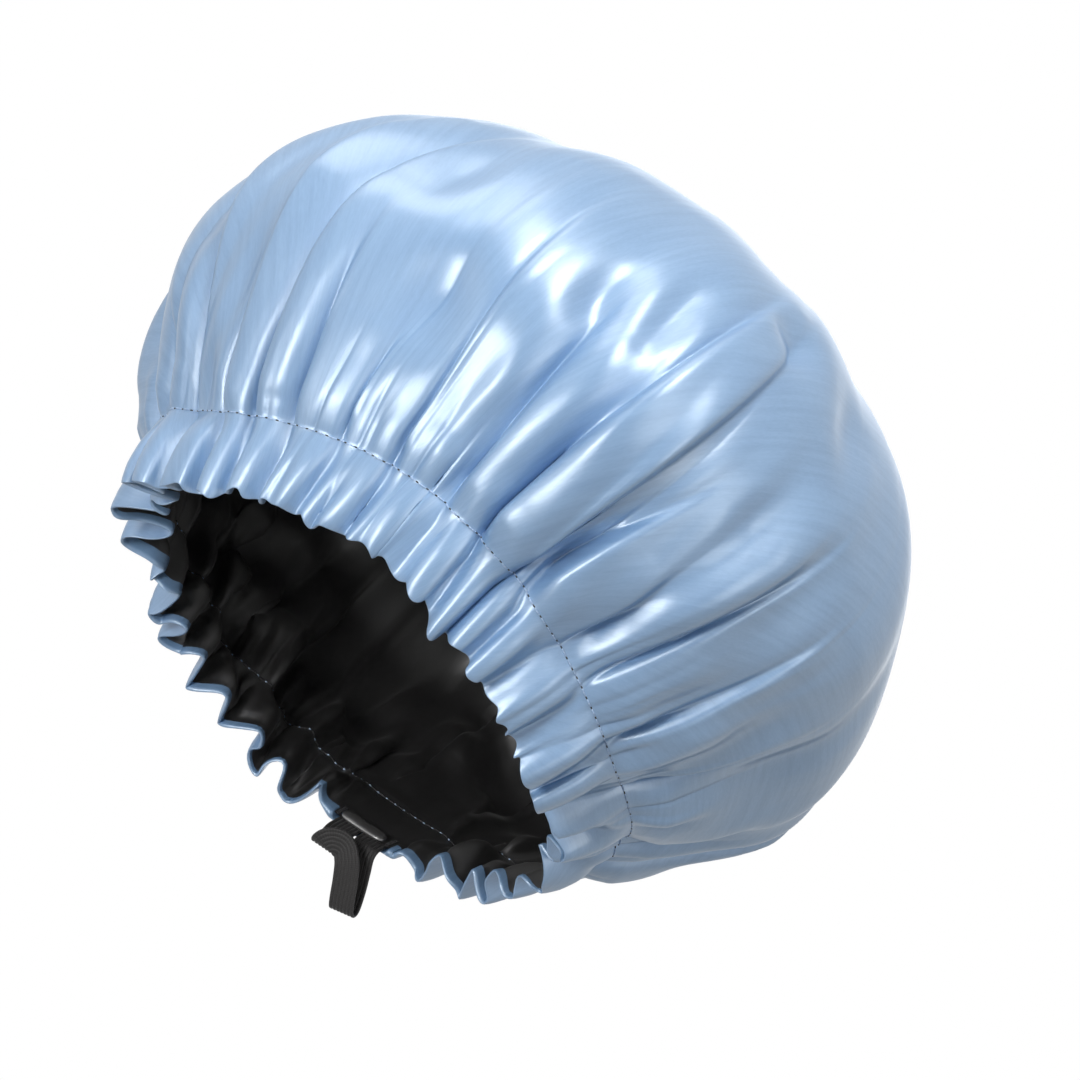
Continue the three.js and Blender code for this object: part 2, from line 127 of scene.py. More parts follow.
def grid_mesh(name, rows, across, along, tip=None):
    """A mesh of rows of points, each row a ring. across and along are the UVs' metres at columns and rows."""
    count, columns = rows.shape[:2]
    row, column = np.arange(count - 1)[:, None], np.arange(columns)[None, :]
    after = (column + 1) % columns
    corners = [(row, column, column), (row, after, column + 1),
               (row + 1, after, column + 1), (row + 1, column, column)]
    faces = np.stack([r * columns + c for r, c, _ in corners], -1).reshape(-1, 4).tolist()
    uvs = np.stack([np.stack(np.broadcast_arrays(across[u], along[r]), -1) for r, _, u in corners], -2)
    uvs = uvs.reshape(-1, 2)
    points = rows.reshape(-1, 3)
    if tip is not None:
        last = (count - 1) * columns
        faces += [[last + i, last + (i + 1) % columns, len(points)] for i in range(columns)]
        tip_u = np.stack([across[:-1], across[1:], across[:-1]], -1).reshape(-1)
        tip_v = np.tile([along[-1], along[-1], along[-1] + TIP_UV], columns)
        uvs = np.vstack([uvs, np.stack([tip_u, tip_v], -1)])
        points = np.vstack([points, tip])
    return add_mesh(name, points, faces, uvs)


def close_ends(piece, ring):
    """Closes the first and last ring of a swept piece, with ring points in each."""
    work = bmesh.new()
    work.from_mesh(piece.data)
    work.verts.ensure_lookup_table()
    for end in (work.verts[:ring][::-1], work.verts[-ring:]):
        work.faces.new(end)
    bmesh.ops.recalc_face_normals(work, faces=work.faces)
    work.to_mesh(piece.data)
    work.free()


def stands_for(piece, slot, *nodes):
    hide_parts(*nodes)


print("units: metres in Blender, millimetres in the numbers below")

# %% [markdown]
# ## Elastic drawcord loop
# The free part of the elastic comes out of the slit at the nape, makes a short lobe and a long one, and
# goes back in. It is a flat knitted strip with ribs along it, so a bevelled curve would be too round: a
# ribbed section is swept along the route of the CAD model instead, with the corners eased as knit bends.
# The strip goes on into the channel, so that no end shows when the loop is pulled.

# %% Route of the drawcord
STRAND_INSIDE = 19.5
INSIDE_STEPS, LOOP_STEPS, DRAWCORD_STEPS, SPLINE_STEPS = 26, 150, 230, 24
CORNER_STEPS = 4
HINGE = np.array([0, 90.2476, -2.4626])
CHANNEL_UP = np.array([0, 0.476283, 0.879292])
LOOP_POINTS = np.array([
    (-5.6, 0, 0), (-5.6, -0.9, -3.2), (-5.9, 0.5, -7.6), (-6.0, 0.4, -10.2), (-5.6, -1.8, -10.4),
    (-3.6, -3.0, -8.2), (0.8, -2.8, -7.0), (4.6, -0.4, -9.8), (7.2, 4.6, -14.2), (9.2, 10.6, -19.0),
    (10.0, 14.2, -20.6), (9.8, 15.6, -18.4), (8.4, 11.8, -12.6), (6.8, 6.2, -7.2), (5.6, 1.6, -3.0),
    (5.6, 0, 0)])


def even_line(line, steps):
    length = path_length(line)
    at = np.linspace(0, length[-1], steps)
    return np.stack([np.interp(at, length, line[:, k]) for k in range(3)], 1)


def eased_line(line, reach):
    """A line with its corners rounded over a number of steps to each side."""
    weights = np.hanning(2 * reach + 3)[1:-1]
    padded = np.vstack([2 * line[0] - line[reach:0:-1], line, 2 * line[-1] - line[-2:-reach - 2:-1]])
    return np.stack([np.convolve(padded[:, k], weights / weights.sum(), "valid") for k in range(3)], 1)


def smooth_line(points, steps):
    """A centripetal spline through points, as evenly spaced steps."""
    padded = np.vstack([2 * points[0] - points[1], points, 2 * points[-1] - points[-2]])
    line = []
    for k in range(len(points) - 1):
        p0, p1, p2, p3 = padded[k:k + 4]
        t1 = np.linalg.norm(p1 - p0) ** 0.5
        t2 = t1 + np.linalg.norm(p2 - p1) ** 0.5
        t3 = t2 + np.linalg.norm(p3 - p2) ** 0.5
        t = np.linspace(t1, t2, SPLINE_STEPS, endpoint=False)[:, None]
        a1 = (t1 - t) / t1 * p0 + t / t1 * p1
        a2 = (t2 - t) / (t2 - t1) * p1 + (t - t1) / (t2 - t1) * p2
        a3 = (t3 - t) / (t3 - t2) * p2 + (t - t2) / (t3 - t2) * p3
        b1 = (t2 - t) / t2 * a1 + t / t2 * a2
        b2 = (t3 - t) / (t3 - t1) * a2 + (t - t1) / (t3 - t1) * a3
        line.append((t2 - t) / (t2 - t1) * b1 + (t - t1) / (t2 - t1) * b2)
    return even_line(np.vstack([*line, points[-1:]]), steps)


loop_line = smooth_line(LOOP_POINTS + HINGE, LOOP_STEPS)
inside = np.linspace(STRAND_INSIDE, 0, INSIDE_STEPS, endpoint=False)[:, None] * CHANNEL_UP
drawcord_line = np.vstack([loop_line[0] + inside, loop_line, (loop_line[-1] + inside)[::-1]])
drawcord_line = even_line(drawcord_line, DRAWCORD_STEPS)
drawcord_line = even_line(eased_line(drawcord_line, CORNER_STEPS), DRAWCORD_STEPS)
drawcord_length = path_length(drawcord_line)
print("drawcord in mm: loop", path_length(loop_line)[-1].round(1),
      "with both strands", drawcord_length[-1].round(1))

# %% Ribbed elastic strip
ELASTIC_WIDTH = 10.5
ELASTIC_THICKNESS = 1.2
RIBS = 7
RIB_HEIGHT = 0.36
RIB_ROUNDNESS = 0.6
THIN_EDGE = 0.6


def ribbed_section(steps):
    """Points round the elastic's section, with steps to a rib: x across the strip and y out of its face."""
    face = np.linspace(-0.5, 0.5, RIBS * steps + 1)
    body = ELASTIC_THICKNESS / 2 - RIB_HEIGHT
    rib = body + RIB_HEIGHT * np.abs(np.sin(np.pi * RIBS * (face + 0.5))) ** RIB_ROUNDNESS
    rib[[0, -1]] = body * THIN_EDGE
    upper = np.stack([face * ELASTIC_WIDTH, rib], 1)
    return np.vstack([upper, -upper])


def carried_across(line, first):
    """The sideways direction carried along a line with the least turning, turned evenly to end level."""
    along = unit(np.gradient(line, axis=0))
    across = [np.array(first, float)]
    for direction in along[1:]:
        across.append(unit(across[-1] - across[-1].dot(direction) * direction))
    last, end = across[-1], along[-1]
    wanted = np.array([np.sign(last[0]), 0, 0])
    turn = math.atan2(np.cross(last, wanted).dot(end), last.dot(wanted))
    share = np.linspace(0, 1, len(line))
    return np.array([Matrix.Rotation(turn * s, 3, Vector(d)) @ Vector(v)
                     for s, d, v in zip(share, along, across)])


def elastic_strip(name, rows, length):
    around = np.linspace(0, 2 * (ELASTIC_WIDTH + ELASTIC_THICKNESS), rows.shape[1] + 1)
    piece = grid_mesh(name, rows * MM, around * MM, length * MM)
    close_ends(piece, rows.shape[1])
    return piece


section = ribbed_section(6)
cord_along = unit(np.gradient(drawcord_line, axis=0))
cord_across = carried_across(drawcord_line, (1, 0, 0))
cord_out = np.cross(cord_along, cord_across)
cord_rows = (drawcord_line[:, None] + section[:, :1] * cord_across[:, None]
             + section[:, 1:] * cord_out[:, None])
drawcord = elastic_strip("elastic_drawcord", cord_rows, drawcord_length)
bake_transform(drawcord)
stands_for(drawcord, "black_elastic", "elastic_loop", "elastic_strand_left", "elastic_strand_right")
print("elastic_drawcord faces:", len(drawcord.data.polygons))

# %% [markdown]
# ## The cap's meridian
# Cut the cap in half through its axis and the cloth shows one line: from the edge up the channel to the
# stitch line, out over the flank to the widest place, and over the crown to the top. Every point of the
# cloth is found by its place on this line, called its rise above the stitch line, and its azimuth, which
# is counted from the nape.

# %% Meridian in millimetres
HEM_RADIUS = 92
SEAM_RADIUS = 105
CHANNEL_DEPTH = 24
CROWN_RADIUS = 145
CROWN_LEVEL = 92
CAP_HEIGHT = 206
STITCH_FILLET = 16
CROWN_STEPS, FLANK_STEPS, CHANNEL_STEPS = 500, 300, 200
MERIDIAN_PITCH = 0.5


def meridian():
    crown_angle = np.linspace(math.pi / 2, 0, CROWN_STEPS)
    crown = np.stack([CROWN_RADIUS * np.cos(crown_angle),
                      CROWN_LEVEL + (CAP_HEIGHT - CROWN_LEVEL) * np.sin(crown_angle)], 1)
    share = np.linspace(1, 0, FLANK_STEPS)[1:]
    flank = np.stack([SEAM_RADIUS + (CROWN_RADIUS - SEAM_RADIUS) * np.sin(share * math.pi / 2),
                      CHANNEL_DEPTH + (CROWN_LEVEL - CHANNEL_DEPTH) * share], 1)
    down = np.linspace(0, 2, CHANNEL_STEPS)[1:]
    channel = np.stack([SEAM_RADIUS - (SEAM_RADIUS - HEM_RADIUS) * down, CHANNEL_DEPTH * (1 - down)], 1)
    line = np.vstack([crown, flank, channel])
    length = path_length(line)
    rise = (length[len(crown) + len(flank) - 1] - length)[::-1]
    even = np.arange(rise[0], rise[-1], MERIDIAN_PITCH)
    line = np.stack([np.interp(even, rise, line[::-1, k]) for k in range(2)], 1)
    weights = np.hanning(STITCH_FILLET * 2 + 1)
    rounded = np.stack([np.convolve(line[:, k], weights / weights.sum(), "same") for k in range(2)], 1)
    near = smooth(2 - np.abs(even - 2) / STITCH_FILLET)[:, None]
    line = line + (rounded - line) * near
    return even, line, np.gradient(line, even, axis=0)


MERIDIAN_RISE, MERIDIAN_LINE, MERIDIAN_SLOPE = meridian()
CHANNEL_LENGTH = math.hypot(SEAM_RADIUS - HEM_RADIUS, CHANNEL_DEPTH)
POLE_RISE = MERIDIAN_RISE[-1]
print("rise of the pole in mm:", POLE_RISE.round(1), "channel length:", round(CHANNEL_LENGTH, 1))

# %% [markdown]
# ## Gathers and creases
# An elastic pulls more than a metre of cloth into the length of a head's girth, so the hem stands in
# gathers, and the valleys between them run on up the crown as long creases. Folds could be left to a
# simulation alone, but then they would fall anywhere. Here the creases stand where the photograph shows
# them, each with its reach up the crown, as they do in the CAD model, and the hidden side goes on in the
# same manner. Between them lie small pleats that the stitching caught and soft folds of slack cloth, which
# seeded generators draw, so that every run gives the same cap.

# %% Table of the creases
# azimuth in degrees at the stitch line and at the upper end, reach, depth and half width in mm, the side on
# which a band of cloth lies over the crease (1 is the side of the larger azimuth), and how far the gather
# after it stands out
CREASES = [
    (24, 22, 110, 3.0, 5.0, -1, 1.1), (44, 43, 90, 4.5, 5.0, 1, 0.7), (53, 55, 130, 5.5, 6.0, -1, 1.1),
    (70, 72, 60, 4.5, 5.0, 1, 1.2), (92, 92, 80, 5.0, 5.5, 1, 0.9), (105, 107, 105, 5.0, 5.5, -1, 1.0),
    (119, 116, 130, 5.0, 6.0, -1, 0.8), (129, 130, 55, 5.0, 7.0, 1, 0.9), (139.5, 135.5, 85, 5.5, 5.0, -1, 0.6),
    (145.5, 139.5, 190, 6.0, 5.0, 1, 0.6), (152, 145, 200, 8.0, 5.5, -1, 0.8), (160.5, 162, 130, 5.5, 7.0, -1, 1.0),
    (173, 176, 165, 4.5, 5.0, -1, 0.8), (184, 184, 65, 4.5, 4.0, -1, 1.0), (195, 197, 95, 5.0, 5.0, -1, 0.8),
    (203.5, 200.5, 180, 6.0, 5.0, -1, 0.7), (211, 213, 180, 7.5, 5.5, -1, 1.1), (223, 231, 160, 7.5, 6.5, -1, 1.0),
    (234, 240, 80, 5.0, 5.0, -1, 1.1), (244, 247, 130, 5.5, 6.0, -1, 1.3), (266, 268, 160, 6.0, 6.0, -1, 1.2),
    (286, 284, 120, 5.5, 5.5, 1, 0.9), (295, 296, 70, 4.0, 4.5, -1, 1.0), (305, 303, 150, 6.0, 6.0, 1, 1.2),
    (324, 324, 110, 5.0, 5.5, 1, 0.9), (334, 332, 80, 4.0, 4.5, -1, 1.0)]
# smaller creases, which only dent the gather that they lie in
SMALL_CREASES = [
    (13, 14, 60, 3.0, 4.0, 1), (34, 35, 45, 3.5, 4.5, 1), (62, 61, 50, 3.5, 4.0, 1), (79.5, 80, 34, 4.0, 4.0, 1),
    (178, 178, 24, 2.5, 3.0, -1), (255, 254, 60, 4.0, 4.5, 1), (276, 276, 50, 3.5, 4.5, 1),
    (314, 316, 60, 4.0, 4.5, -1), (346, 346, 50, 3.0, 4.5, 1)]
ALL_CREASES = [crease[:6] for crease in CREASES] + SMALL_CREASES

# small pleats that the stitching caught: azimuth, reach, depth and half width in mm, side
pleat_draw = np.random.default_rng(23)
PLEATS = [(azimuth, pleat_draw.uniform(12, 60), pleat_draw.uniform(0.8, 2.4), pleat_draw.uniform(1.3, 2.6),
           pleat_draw.choice([-1, -1, 1])) for azimuth in np.sort(pleat_draw.uniform(12, 348, 120))]
PLEATS += [(azimuth % 360, pleat_draw.uniform(12, 40), pleat_draw.uniform(1.4, 2.4), pleat_draw.uniform(2.2, 3.4),
            pleat_draw.choice([-1, 1])) for azimuth in (-58, -49, -40, -31, -20, -14, 14, 20, 29, 35, 39, 49, 58, 64)]

# soft folds: azimuths at both ends, rises at both ends in mm, height in mm and half width in mm
fold_draw = np.random.default_rng(41)
SOFT_FOLDS = [(azimuth, azimuth + fold_draw.normal(0, 3), fold_draw.uniform(-4, 30), fold_draw.uniform(60, 175),
               fold_draw.uniform(1.0, 2.6) * fold_draw.choice([-1, 1]), fold_draw.uniform(3.5, 7.5))
              for azimuth in np.sort(fold_draw.uniform(8, 352, 90))]
LINING_FOLDS = [(azimuth, azimuth + fold_draw.normal(0, 9), fold_draw.uniform(4, 40), fold_draw.uniform(90, 200),
                 fold_draw.uniform(3.0, 7.0), fold_draw.uniform(6.0, 11.0))
                for azimuth in np.sort(fold_draw.uniform(0, 360, 44))]
# the lining's own small gathers at the nape, in the channel and above its stitch line
NAPE_GATHERS = np.concatenate([np.linspace(-72, -11, 17), np.linspace(11, 72, 17)])
LINING_FOLDS += [(azimuth + fold_draw.normal(0, 1), azimuth + fold_draw.normal(0, 2), *ends,
                  fold_draw.uniform(1.4, 3.2), fold_draw.uniform(1.4, 2.4))
                 for azimuth in NAPE_GATHERS for ends in ((-22, -1), (1, fold_draw.uniform(20, 55)))]
print("creases:", len(ALL_CREASES), "pleats:", len(PLEATS), "soft folds:", len(SOFT_FOLDS))

# %% [markdown]
# ## Lobes of the hem
# Between two valleys the hem bulges into a lobe, and on real cloth no two lobes are alike: one is round,
# the next flat, one leans over its neighbour, one has a dent. Each lobe draws its own leaning, roundness,
# dent, curl and drop from a seeded generator. A lobe that a small crease dents has less room, so it curls
# less, or its sides would cross.

# %% Draw the lobes
SLIT_END = 7.8
FIRST_GATHER = 0.9
CREASED_CURL, CREASED_DENT = 0.45, 1.5
TONGUE_AZIMUTH, TONGUE_DROP = 148, 8.0
VALLEYS = np.radians([SLIT_END, *[crease[0] for crease in CREASES], 360 - SLIT_END])
LOBE_HEIGHT = np.array([FIRST_GATHER, *[crease[6] for crease in CREASES], 0])
LOBES = len(VALLEYS)


def lobe_place(azimuth):
    """The number of the lobe at an azimuth, and how far across it, from 0 to 1."""
    turned = np.mod(azimuth - VALLEYS[0], 2 * math.pi) + VALLEYS[0]
    number = np.clip(np.searchsorted(VALLEYS, turned, side="right") - 1, 0, LOBES - 1)
    ends = np.append(VALLEYS[1:], VALLEYS[0] + 2 * math.pi)
    return number, (turned - VALLEYS[number]) / (ends[number] - VALLEYS[number])


draw = np.random.default_rng(11)
LOBE_PEAK = draw.uniform(0.32, 0.68, LOBES)
LOBE_ROUND = draw.uniform(0.75, 1.25, LOBES)
LOBE_DENT = draw.uniform(0.25, 0.7, LOBES) * (draw.random(LOBES) < 0.5)
LOBE_DENT_AT = draw.uniform(0.35, 0.65, LOBES)
LOBE_WIDTH = np.degrees(np.diff(np.append(VALLEYS, VALLEYS[0] + 2 * math.pi)))
LOBE_CURL = draw.uniform(0.3, 1.2, LOBES) * np.clip(LOBE_WIDTH / 12, 0.3, 1)
LOBE_DROP = draw.uniform(-1.5, 3.0, LOBES)
for crease in SMALL_CREASES:
    lobe, share = lobe_place(np.radians(crease[0]))
    LOBE_DENT[lobe], LOBE_DENT_AT[lobe] = CREASED_DENT, share
    LOBE_CURL[lobe] *= CREASED_CURL
LOBE_DROP[lobe_place(math.radians(TONGUE_AZIMUTH))[0]] = TONGUE_DROP
print("lobes:", LOBES, "with a dent:", int((LOBE_DENT > 0).sum()))

# %% [markdown]
# ## Shape of the gathered cloth
# The cloth is written as a height above the meridian plus a slide round the cap. The height alone could
# only make waves. The slide lets a band of cloth lie over its neighbour at a crease, and lets a lobe of
# the hem grow wider than its neck, as a real gather does.

# %% Hem lobes
# at azimuths in degrees: how far the hem hangs below its even line in mm, and how full its gathers stand
HEM_DROP = [(0, 0), (45, -1.1), (72, -5), (85, 0), (100, 5.5), (125, 5), (145, 1.1), (170, 1.1), (183, 4.4),
            (198, 8.2), (212, 11), (224, 8.8), (240, 3.3), (262, -3.9), (290, -1.1), (330, 0)]
HEM_FULLNESS = [(0, 1.15), (40, 1.2), (60, 1.1), (80, 1.05), (100, 0.85), (120, 0.68), (134, 0.65), (143, 0.9),
                (152, 0.9), (162, 0.7), (180, 0.65), (205, 0.72), (222, 0.95), (238, 1.25), (255, 1.35), (270, 1.25),
                (330, 1.2)]
DROP_REACH = 75
# at rises in mm: how far the gathers stand out and how far they curl sideways, in mm
HEM_STAND = ([-CHANNEL_LENGTH, -20, -12, -4, 0, 4, 12, 30, 60, 110],
             [13.0, 12.0, 9.5, 5.5, 3.6, 5.0, 6.5, 5.2, 2.4, 0.3])
HEM_CURL = ([-CHANNEL_LENGTH, -12, 0, 14, 40], [2.9, 1.7, 0.5, 0.6, 0])
# small waves of the edge: height in mm, waves round the cap and how often their spacing changes
CRINKLES = [(0.9, 61, 9), (0.7, 83, 5)]


def turn_interp(azimuth, at, values):
    """Values at azimuths, going on round the cap."""
    at = np.asarray(at, float)
    wide = np.concatenate([at - 2 * math.pi, at, at + 2 * math.pi])
    return np.interp(azimuth, wide, np.tile(np.asarray(values, float), 3))


def softened(azimuth, table, spread=6):
    offsets = np.radians(np.linspace(-spread, spread, 9))
    at, values = np.radians([row[0] for row in table]), [row[1] for row in table]
    return np.mean([turn_interp(azimuth + offset, at, values) for offset in offsets], 0)


def from_nape(azimuth):
    return np.degrees(np.abs((azimuth + math.pi) % (2 * math.pi) - math.pi))


def slit_share(azimuth):
    """1 at the slit in the nape and 0 away from it."""
    return 1 - smooth((from_nape(azimuth) - SLIT_END) / 5)


def hem_lobes(azimuth, rise):
    """Height and slide of the gathers in mm, and how far each lobe hangs down."""
    number, across = lobe_place(azimuth)
    share = across ** (np.log(0.5) / np.log(LOBE_PEAK[number]))
    bulge = np.sin(math.pi * share) ** LOBE_ROUND[number]
    dent = LOBE_DENT[number] * np.exp(-((across - LOBE_DENT_AT[number]) / 0.13) ** 2)
    height = LOBE_HEIGHT[number] * (bulge - 0.45 - 0.5 * dent * smooth(-rise / 20))
    stand, curl = np.interp(rise, *HEM_STAND), np.interp(rise, *HEM_CURL)
    down = smooth(-rise / CHANNEL_LENGTH)
    fullness = softened(azimuth, HEM_FULLNESS) ** (1 + 0.3 * down)
    free = 1 - slit_share(azimuth) * (1 - smooth((rise - 2) / 25))
    slide = curl * LOBE_CURL[number] * np.sin(4 * math.pi * share) * fullness ** 1.3
    crinkle = sum(high * np.sin(waves * azimuth + 2 * np.sin(changes * azimuth)) for high, waves, changes in CRINKLES)
    hang = (LOBE_DROP[number] * bulge + crinkle) * down
    return stand * height * fullness * free, slide * free, hang * free


print("hem lobe at the forehead in mm:", [v.round(2) for v in hem_lobes(np.array([math.pi]), -20.0)])

# %% Crown creases
# short hollows: azimuth, rise in mm, depth in mm, half length up the crown in mm, half width in mm
HOLLOWS = [
    (219, 10, 4.9, 13, 5), (236, 14, 4.9, 14, 6), (183, 56, 4.9, 18, 9), (161, 68, 5.6, 26, 6),
    (156, 98, 5.6, 24, 7), (128, 12, 4.2, 16, 7), (102, 9, 4.2, 13, 6), (92, 8, 3.5, 10, 5), (217, 40, 4.2, 26, 6),
    (152, 36, 3.5, 16, 6), (141, 140, 5.6, 12, 9), (128, 55, 3.5, 28, 8), (115, 62, 3.5, 24, 8),
    (254, 56, 4.9, 24, 9), (165, 88, 4.2, 14, 7), (170, 38, 3.5, 18, 7), (142, 16, 4.2, 12, 5),
    (124, 140, 4.2, 22, 12), (194, 106, 3.5, 18, 10), (30, 30, 4.2, 18, 7), (58, 40, 4.2, 20, 8),
    (85, 60, 3.5, 22, 9), (275, 30, 4.2, 18, 7), (291, 62, 4.2, 24, 9), (318, 40, 4.2, 20, 8), (340, 75, 3.5, 22, 9)]
# slow rises of the crown: height in mm, waves round the cap, their start and their turn in radians for each mm of rise
SWELLS = [(1.5, 3, 0.6, 0.008), (1.2, 5, 2.1, -0.012), (0.9, 8, 4.0, 0.02), (0.7, 13, 1.0, -0.025)]
# half width in mm of the step at a fold's edge
SHARP_EDGE = 0.9


def turn_from(azimuth, line):
    return (azimuth - line + math.pi) % (2 * math.pi) - math.pi


def crease_line(crease, rise):
    """A crease's azimuth at rises, and how far up its reach they are, from 0 to 1."""
    low, high, reach = crease[:3]
    climb = np.clip(rise / reach, 0, 1)
    return np.radians(low + (high - low) * smooth(climb)), climb


def fold_heights(folds, azimuth, rise, radius):
    """Heights in mm of soft folds, which are full in the middle and run out at both ends."""
    height = np.zeros(np.broadcast(azimuth, rise).shape)
    for low, high, start, end, tall, width in folds:
        climb = np.clip((rise - start) / (end - start), 0, 1)
        off = turn_from(azimuth, np.radians(low + (high - low) * climb)) * radius
        height += tall * np.sin(math.pi * climb) ** 0.7 * np.exp(-(off / (width * (1 + climb))) ** 2)
    return height


def knife_fold(off, edge, stand, stand_reach, sink, sink_reach):
    """Height for a strength of 1: a band of cloth stands up on one side of a fold, with a valley on the other."""
    over = 0.5 + 0.5 * np.tanh(off / edge)
    band = stand * np.exp(-np.maximum(off, 0) / stand_reach)
    return over * band - (1 - over) * sink * np.exp(np.minimum(off, 0) / sink_reach)


def crown_creases(azimuth, rise, radius):
    """Height and slide in mm of all folds. The slide makes a band of cloth lean over its fold."""
    height = fold_heights(SOFT_FOLDS, azimuth, rise, radius)
    slide = np.zeros_like(height)
    for crease in ALL_CREASES:
        deep, width, side = crease[3:]
        line, climb = crease_line(crease, rise)
        off = side * turn_from(azimuth, line) * radius
        strength = deep * smooth((rise + 10) / 24) * (1 - smooth((climb - 0.35) / 0.65))
        edge = SHARP_EDGE + 2.4 * climb
        height += strength * knife_fold(off, edge, 0.55, 2.6 * width, 1.05, 1.5 * width)
        slide -= side * 0.5 * strength * np.exp(-((off - edge) / (2 * edge + 1.5)) ** 2)
    for at, reach, deep, width, side in PLEATS:
        off = side * turn_from(azimuth, math.radians(at)) * radius
        strength = deep * (1 - smooth(rise / reach)) * (1 + 0.3 * smooth(-rise / CHANNEL_LENGTH))
        height += strength * knife_fold(off, SHARP_EDGE, 0.5, 2 * width, 0.8, width)
        slide -= side * 0.3 * strength * np.exp(-((off - 0.8) / 2) ** 2)
    for at, level, deep, long, wide in HOLLOWS:
        off = turn_from(azimuth, math.radians(at)) * radius
        height -= deep * np.exp(-((rise - level) / long) ** 2 - (off / wide) ** 2)
    return height, slide


def soft_swell(azimuth, rise):
    """Slow rises and hollows of the crown."""
    fade = smooth(rise / 60) * (1 - smooth((rise - 190) / 80))
    return fade * sum(high * np.sin(waves * azimuth + start + turn * rise) for high, waves, start, turn in SWELLS)


print("hollows:", len(HOLLOWS))

# %% Middle between the two layers
COLUMNS = 960


def cloth_middle(azimuth, rise):
    """Points in mm, at rows of rises and columns of azimuths."""
    azimuth, rise = azimuth[None, :], rise[:, None]
    lean = (np.radians(1.8) * np.sin(3 * azimuth + 1) + np.radians(1.3) * np.sin(7 * azimuth + 2))
    leaned = azimuth + lean * np.clip(-rise / CHANNEL_LENGTH, -0.4, 1) * (1 - slit_share(azimuth))
    lobe, curl, hang = hem_lobes(leaned, rise)
    place = rise - hang
    radius, level = [np.interp(place, MERIDIAN_RISE, MERIDIAN_LINE[:, k]) for k in range(2)]
    slope_r, slope_z = [np.interp(place, MERIDIAN_RISE, MERIDIAN_SLOPE[:, k]) for k in range(2)]
    long = np.hypot(slope_r, slope_z)
    fold, lap = crown_creases(azimuth, rise, radius)
    sewn = 1 - slit_share(azimuth) * (1 - smooth((rise - 2) / 25))
    height = (lobe + fold * sewn + soft_swell(azimuth, rise)) * smooth((POLE_RISE - rise) / 40)
    turned = azimuth + (curl + lap * sewn) / np.maximum(radius, 20)
    out = radius + height * slope_z / long
    drop = softened(azimuth, HEM_DROP) * (1 - slit_share(azimuth)) * (1 - smooth(rise / DROP_REACH))
    return np.stack([out * np.sin(turned), out * np.cos(turned), level - height * slope_r / long - drop], -1)


azimuths = np.arange(COLUMNS) / COLUMNS * 2 * math.pi
channel_rises = np.linspace(-CHANNEL_LENGTH, 0, 20)
crown_rises = np.concatenate([np.arange(1.5, 40, 1.5), np.arange(40, 165, 2.5), np.linspace(165, 281, 26)])
rises = np.concatenate([channel_rises, crown_rises])
STITCH_ROW = len(channel_rises) - 1
middle_cloth = cloth_middle(azimuths, rises)
print("cloth grid:", middle_cloth.shape, "lowest and highest in mm:", middle_cloth.min((0, 1)).round(1),
      middle_cloth.max((0, 1)).round(1))

# %% [markdown]
# ## Let the cloth settle
# Between its creases real satin is not as even as a formula: it fills with air and pulls tight from one
# crease to the next. Blender's Cloth can do that. A coarser copy of the cloth is held firmly at the
# stitching and the creases and only lightly between them, gets a little air pressure from inside, and
# runs for a few frames. Its broad movement is then carried over to the fine grid, so that nothing of the
# simulation is left on the piece. Last, the folds of the hem are eased, because cloth has no knife edges.

# %% Set up the settling cloth
SIM_STEP = 2
SETTLE_FRAMES = 16
SPARE_CLOTH = 0.04
LIGHT_HOLD = 0.06
HELD_HALF_WIDTH = 5
BEND = 0.5
PRESSURE = 10.0


def held_share(azimuth, rise):
    """How firmly the cloth is held: fully at the stitch line and the slit, firmly at creases, else lightly."""
    radius = np.interp(rise, MERIDIAN_RISE, MERIDIAN_LINE[:, 0])
    held = np.interp(rise, [-1, 0, 40, 90, 140], [0.6, LIGHT_HOLD, LIGHT_HOLD, 0.2, 0.5]) + 0 * azimuth
    for crease in ALL_CREASES:
        line, climb = crease_line(crease, rise)
        off = turn_from(azimuth, line) * radius
        held = np.maximum(held, (1 - climb) * np.exp(-(off / HELD_HALF_WIDTH) ** 2))
    held = np.maximum(held, slit_share(azimuth) * (rise <= 0))
    held[np.broadcast_to(rise == 0, held.shape)] = 1
    held[-1] = 1
    return held


def settling_cloth(start, hold_share, spare_share):
    count, columns = start.shape[:2]
    piece = grid_mesh("settling_cloth", start * MM, np.zeros(columns + 1), np.zeros(count))
    for name, weights in (("hold", hold_share), ("taken_up", 1 - spare_share)):
        group = piece.vertex_groups.new(name=name)
        for point, weight in enumerate(weights.ravel().tolist()):
            group.add([point], weight, "REPLACE")
    cloth = piece.modifiers.new("cloth", "CLOTH")
    settings = cloth.settings
    settings.vertex_group_mass = "hold"
    settings.vertex_group_shrink = "taken_up"
    settings.shrink_min = -SPARE_CLOTH
    settings.shrink_max = 0
    settings.quality = 6
    settings.mass = 0.1
    settings.tension_stiffness = settings.compression_stiffness = 15
    settings.shear_stiffness = 3
    settings.bending_stiffness = BEND
    settings.tension_damping = settings.compression_damping = 8
    settings.shear_damping = 5
    settings.bending_damping = 0
    settings.air_damping = 2
    settings.use_pressure = True
    settings.uniform_pressure_force = PRESSURE
    settings.effector_weights.gravity = 0
    cloth.point_cache.frame_end = SETTLE_FRAMES
    return piece


# %% Run it and carry the movement over
SETTLE_MOST = 5.0
BROAD_PASSES = 8
SPARE_RISE, SPARE_REACH = 15, 60


